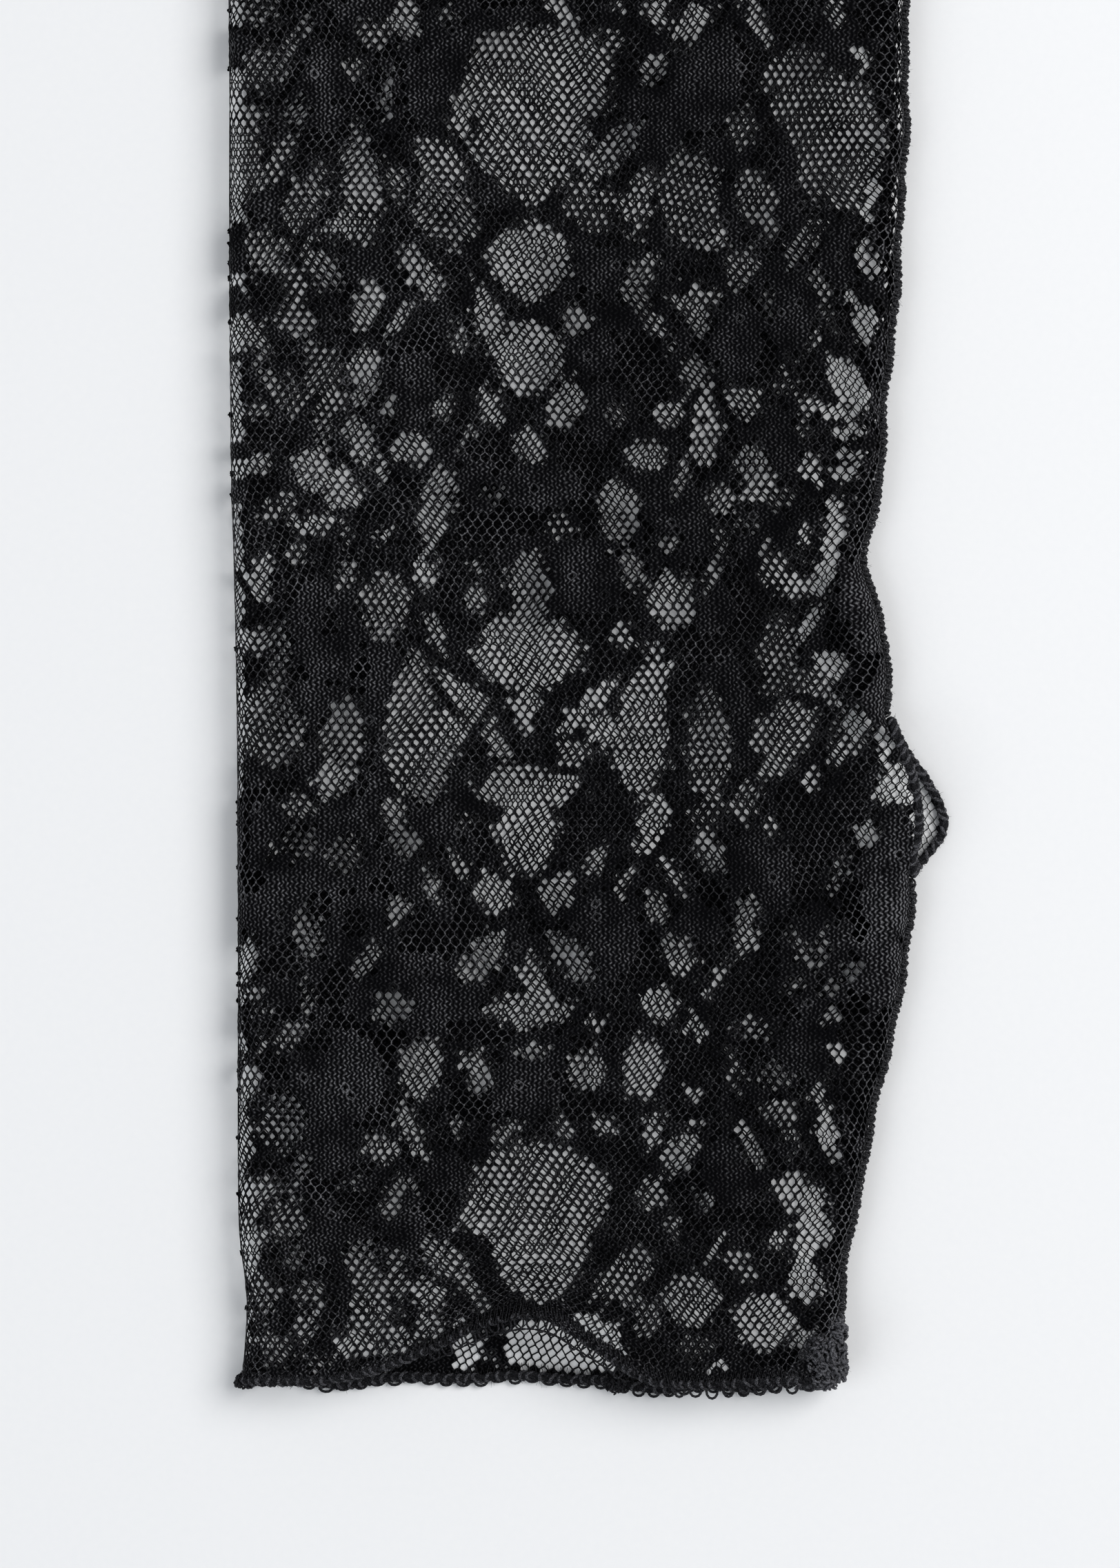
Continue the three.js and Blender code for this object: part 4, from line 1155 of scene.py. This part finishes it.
def arm_hem(material):
    across, out, up = once_round(120)
    v = np.full(len(across), GLOVE_LENGTH - HEM_RADIUS)
    path = evenly(section_point(across, out, up, v, HEM_RADIUS), 0.35, True)
    parts = [twisted(path, True, 0.92 * HEM_RADIUS, 3, 4.6, swell=0.12)]
    parts.append(yarn_turns(path, True, 1.25, 0.85 * HEM_RADIUS, 0.2, 0.5))
    pitch = 2.1
    base = evenly(path, pitch, True)
    along = heading(base, 0, True)
    flat_part = np.abs(along[:, 2]) < 0.3
    base, along = base[flat_part], along[flat_part]
    outward = np.tile([0.0, 1.0, 0.0], (len(base), 1))
    width = pitch * rng.uniform(0.95, 1.1, len(base))
    tall = 1.2 * rng.uniform(0.8, 1.1, len(base))
    parts.append(loops(base, along, outward, width, tall, 0.18, 0))
    return yarn_piece("arm_hem_yarn", "hem_yarn", "arm_hem", material, parts, 0)


def side_seam(name, node, start, end, material):
    v = np.linspace(start, end, int((end - start) / 0.5))
    x = uncut_side(v) + GAP + SEAM_RADIUS + seam_wander(v)
    path = np.stack([x, y_at(v), np.full(len(v), BODY_HEIGHT / 2)], 1)
    cord = evenly(path, 0.32, False)
    parts = [twisted(cord, False, 0.85 * SEAM_RADIUS, 2, 2.6, sides=5, swell=0.12)]
    parts.append(yarn_turns(path, False, 0.95, SEAM_RADIUS, 0.16, 0.4))
    # overlock thread wound round the cord and the lace's edge
    edge = evenly(path, 0.62, False)
    edge = edge[rng.random(len(edge)) < 0.7]
    turn = np.linspace(-0.6 * math.pi, 0.6 * math.pi, 7)
    reach = rng.uniform(0.5, 0.9, (len(edge), 1))
    along = np.broadcast_to(np.linspace(-0.35, 0.35, 7), (len(edge), 7))
    wraps = np.stack([np.cos(turn) * reach - 0.3, along, np.sin(turn) * reach * 1.3], axis=-1)
    planes = np.tile([0.0, 1.0, 0.0], (len(edge), 1))
    parts.append(tubes(edge[:, None] + wraps, 0.11, 4, planes))
    parts.append(fuzz(path, int((end - start) * 5), (0.4, 0.8), 0.03, 0.8, lean=0.6))
    knots_v = np.concatenate([v_at(SEAM_KNOT_ROWS), np.arange(UNSEEN_FROM, UNSEEN_TO, 7.3)])
    for knot in knots_v[(knots_v > start + 1) & (knots_v < end - 1)]:
        out = float(uncut_side(knot) + seam_wander(knot)) + 0.8
        centre = np.array([out, y_at(knot), BODY_HEIGHT / 2])
        parts.append(tuft(centre, (0.5, 0.7, 0.6), 15, 0.18))
    return yarn_piece(name, "seam_thread", node, material, parts, 0.35)


def tuft(centre, size, count, radius):
    """A lump of curled yarn ends."""
    start = unit(rng.normal(0, 1, (count, 3))) * rng.uniform(0.2, 1, (count, 1)) ** 0.5
    start = 0.8 * start * np.array(size)
    phase = rng.uniform(0, 2 * math.pi, (count, 1))
    t = np.linspace(0, 1, 7)[None]
    axis = unit(rng.normal(0, 1, (count, 3)))
    side = unit(np.cross(axis, rng.normal(0, 1, (count, 3))))
    other = np.cross(axis, side)
    curl = min(np.array(size).mean() * 0.4, 0.55)
    angle = (phase + t * rng.uniform(3.0, 5.5, (count, 1)))[..., None]
    bend = np.cos(angle) * side[:, None] + np.sin(angle) * other[:, None]
    bend = bend + (t - 0.5)[..., None] * axis[:, None]
    return tubes(centre + start[:, None] + curl * bend, radius, 4, axis)


def corner_tufts(material):
    parts = []
    for column, row, z, size, count, radius in TUFTS:
        x, y = (column - ORIGIN_COLUMN) * PIXEL, y_at(v_at(row))
        parts.append(tuft(np.array([x, y, z]), size, count, radius))
    names = ("hem_tufts", "hem_yarn", "finger_hem")
    # painted sheen on the tufts at the seam's corner
    return yarn_piece(*names, material, parts, 0, glow=1.5, glow_from=(20, 36))


def fold_knots(material):
    parts = []
    for v in np.concatenate([v_at(FOLD_KNOT_ROWS), rng.uniform(UNSEEN_FROM, UNSEEN_TO, 20)]):
        centre = np.array([float(fold_edge(v)) + 0.35, y_at(v), BODY_HEIGHT / 2])
        parts.append(tuft(centre, (0.28, 0.4, 0.5), 12, 0.1))
    return yarn_piece("fold_knots", "lace_yarn", "lace_sleeve", material, parts, 0, uv=(0, 0))


# ---- light, paper and camera ----


def aim(thing, target):
    direction = np.array(target) - np.array(thing.location)
    yaw = math.atan2(direction[1], direction[0]) - math.pi / 2
    pitch = math.acos(-direction[2] / np.linalg.norm(direction))
    thing.rotation_euler = (pitch, 0, yaw)


def area_light(name, place, size, power, colour):
    data = bpy.data.lights.new(name, "AREA")
    data.size = size
    data.energy = power
    data.color = colour
    light = bpy.data.objects.new(name, data)
    light.location = place
    bpy.context.scene.collection.objects.link(light)
    aim(light, (0, -0.09, 0))
    return light


def studio():
    floor = mesh_object(
        "paper",
        FLOOR_HALF * np.array([[-1, -1, 0], [1, -1, 0], [1, 1, 0], [-1, 1, 0]]) - [0, 0, 0.05],
        [np.array([[0, 1, 2, 3]])],
        paper_material(),
    )
    area_light("key", (0.7, 0.22, 0.9), 0.75, 10.3, (1.0, 0.995, 0.985))
    area_light("fill", (-0.7, -0.5, 0.9), 0.9, 4.5, (0.93, 0.965, 1.0))
    world = bpy.data.worlds.new("soft_sky")
    world.use_nodes = True
    background = world.node_tree.nodes["Background"]
    background.inputs["Color"].default_value = (0.93, 0.96, 1.0, 1)
    background.inputs["Strength"].default_value = 0.36
    scene = bpy.context.scene
    scene.world = world
    scene.view_settings.view_transform = "Standard"


def camera():
    data = bpy.data.cameras.new("camera")
    data.sensor_width = 36
    view_tall = PHOTO_TALL * PIXEL
    data.lens = data.sensor_width * CAMERA_HEIGHT / view_tall
    data.clip_end = 10
    camera_object = bpy.data.objects.new("camera", data)
    height = BODY_HEIGHT + CAMERA_HEIGHT
    camera_object.location = (CAMERA_X * MM, CAMERA_Y * MM, height * MM)
    bpy.context.scene.collection.objects.link(camera_object)
    bpy.context.scene.camera = camera_object


studio()
camera()
lace = lace_material()
hem_yarn = yarn_material("hem_yarn", (0.13, 0.13, 0.145))
seam_thread = yarn_material("seam_thread", (0.12, 0.12, 0.13))
sleeve = lace_pieces(lace)
fold_trim = fold_knots(lace)
hand_trims = [finger_hem(hem_yarn), corner_tufts(hem_yarn), thumb_hem(hem_yarn)]
arm_trims = [arm_hem(hem_yarn)]
seam_start = float(hem_draw(1.0, 0.5)) + HEM_RADIUS + GAP
seam_end = THUMB_FROM - HEM_RADIUS - GAP
hand_trims.append(side_seam("hand_seam_thread", "hand_seam", seam_start, seam_end, seam_thread))
thumb_end = THUMB_FROM + THUMB_SLIT + HEM_RADIUS + GAP
seam_end = GLOVE_LENGTH - 1.7
arm_trims.append(side_seam("arm_seam_thread", "arm_seam", thumb_end, seam_end, seam_thread))
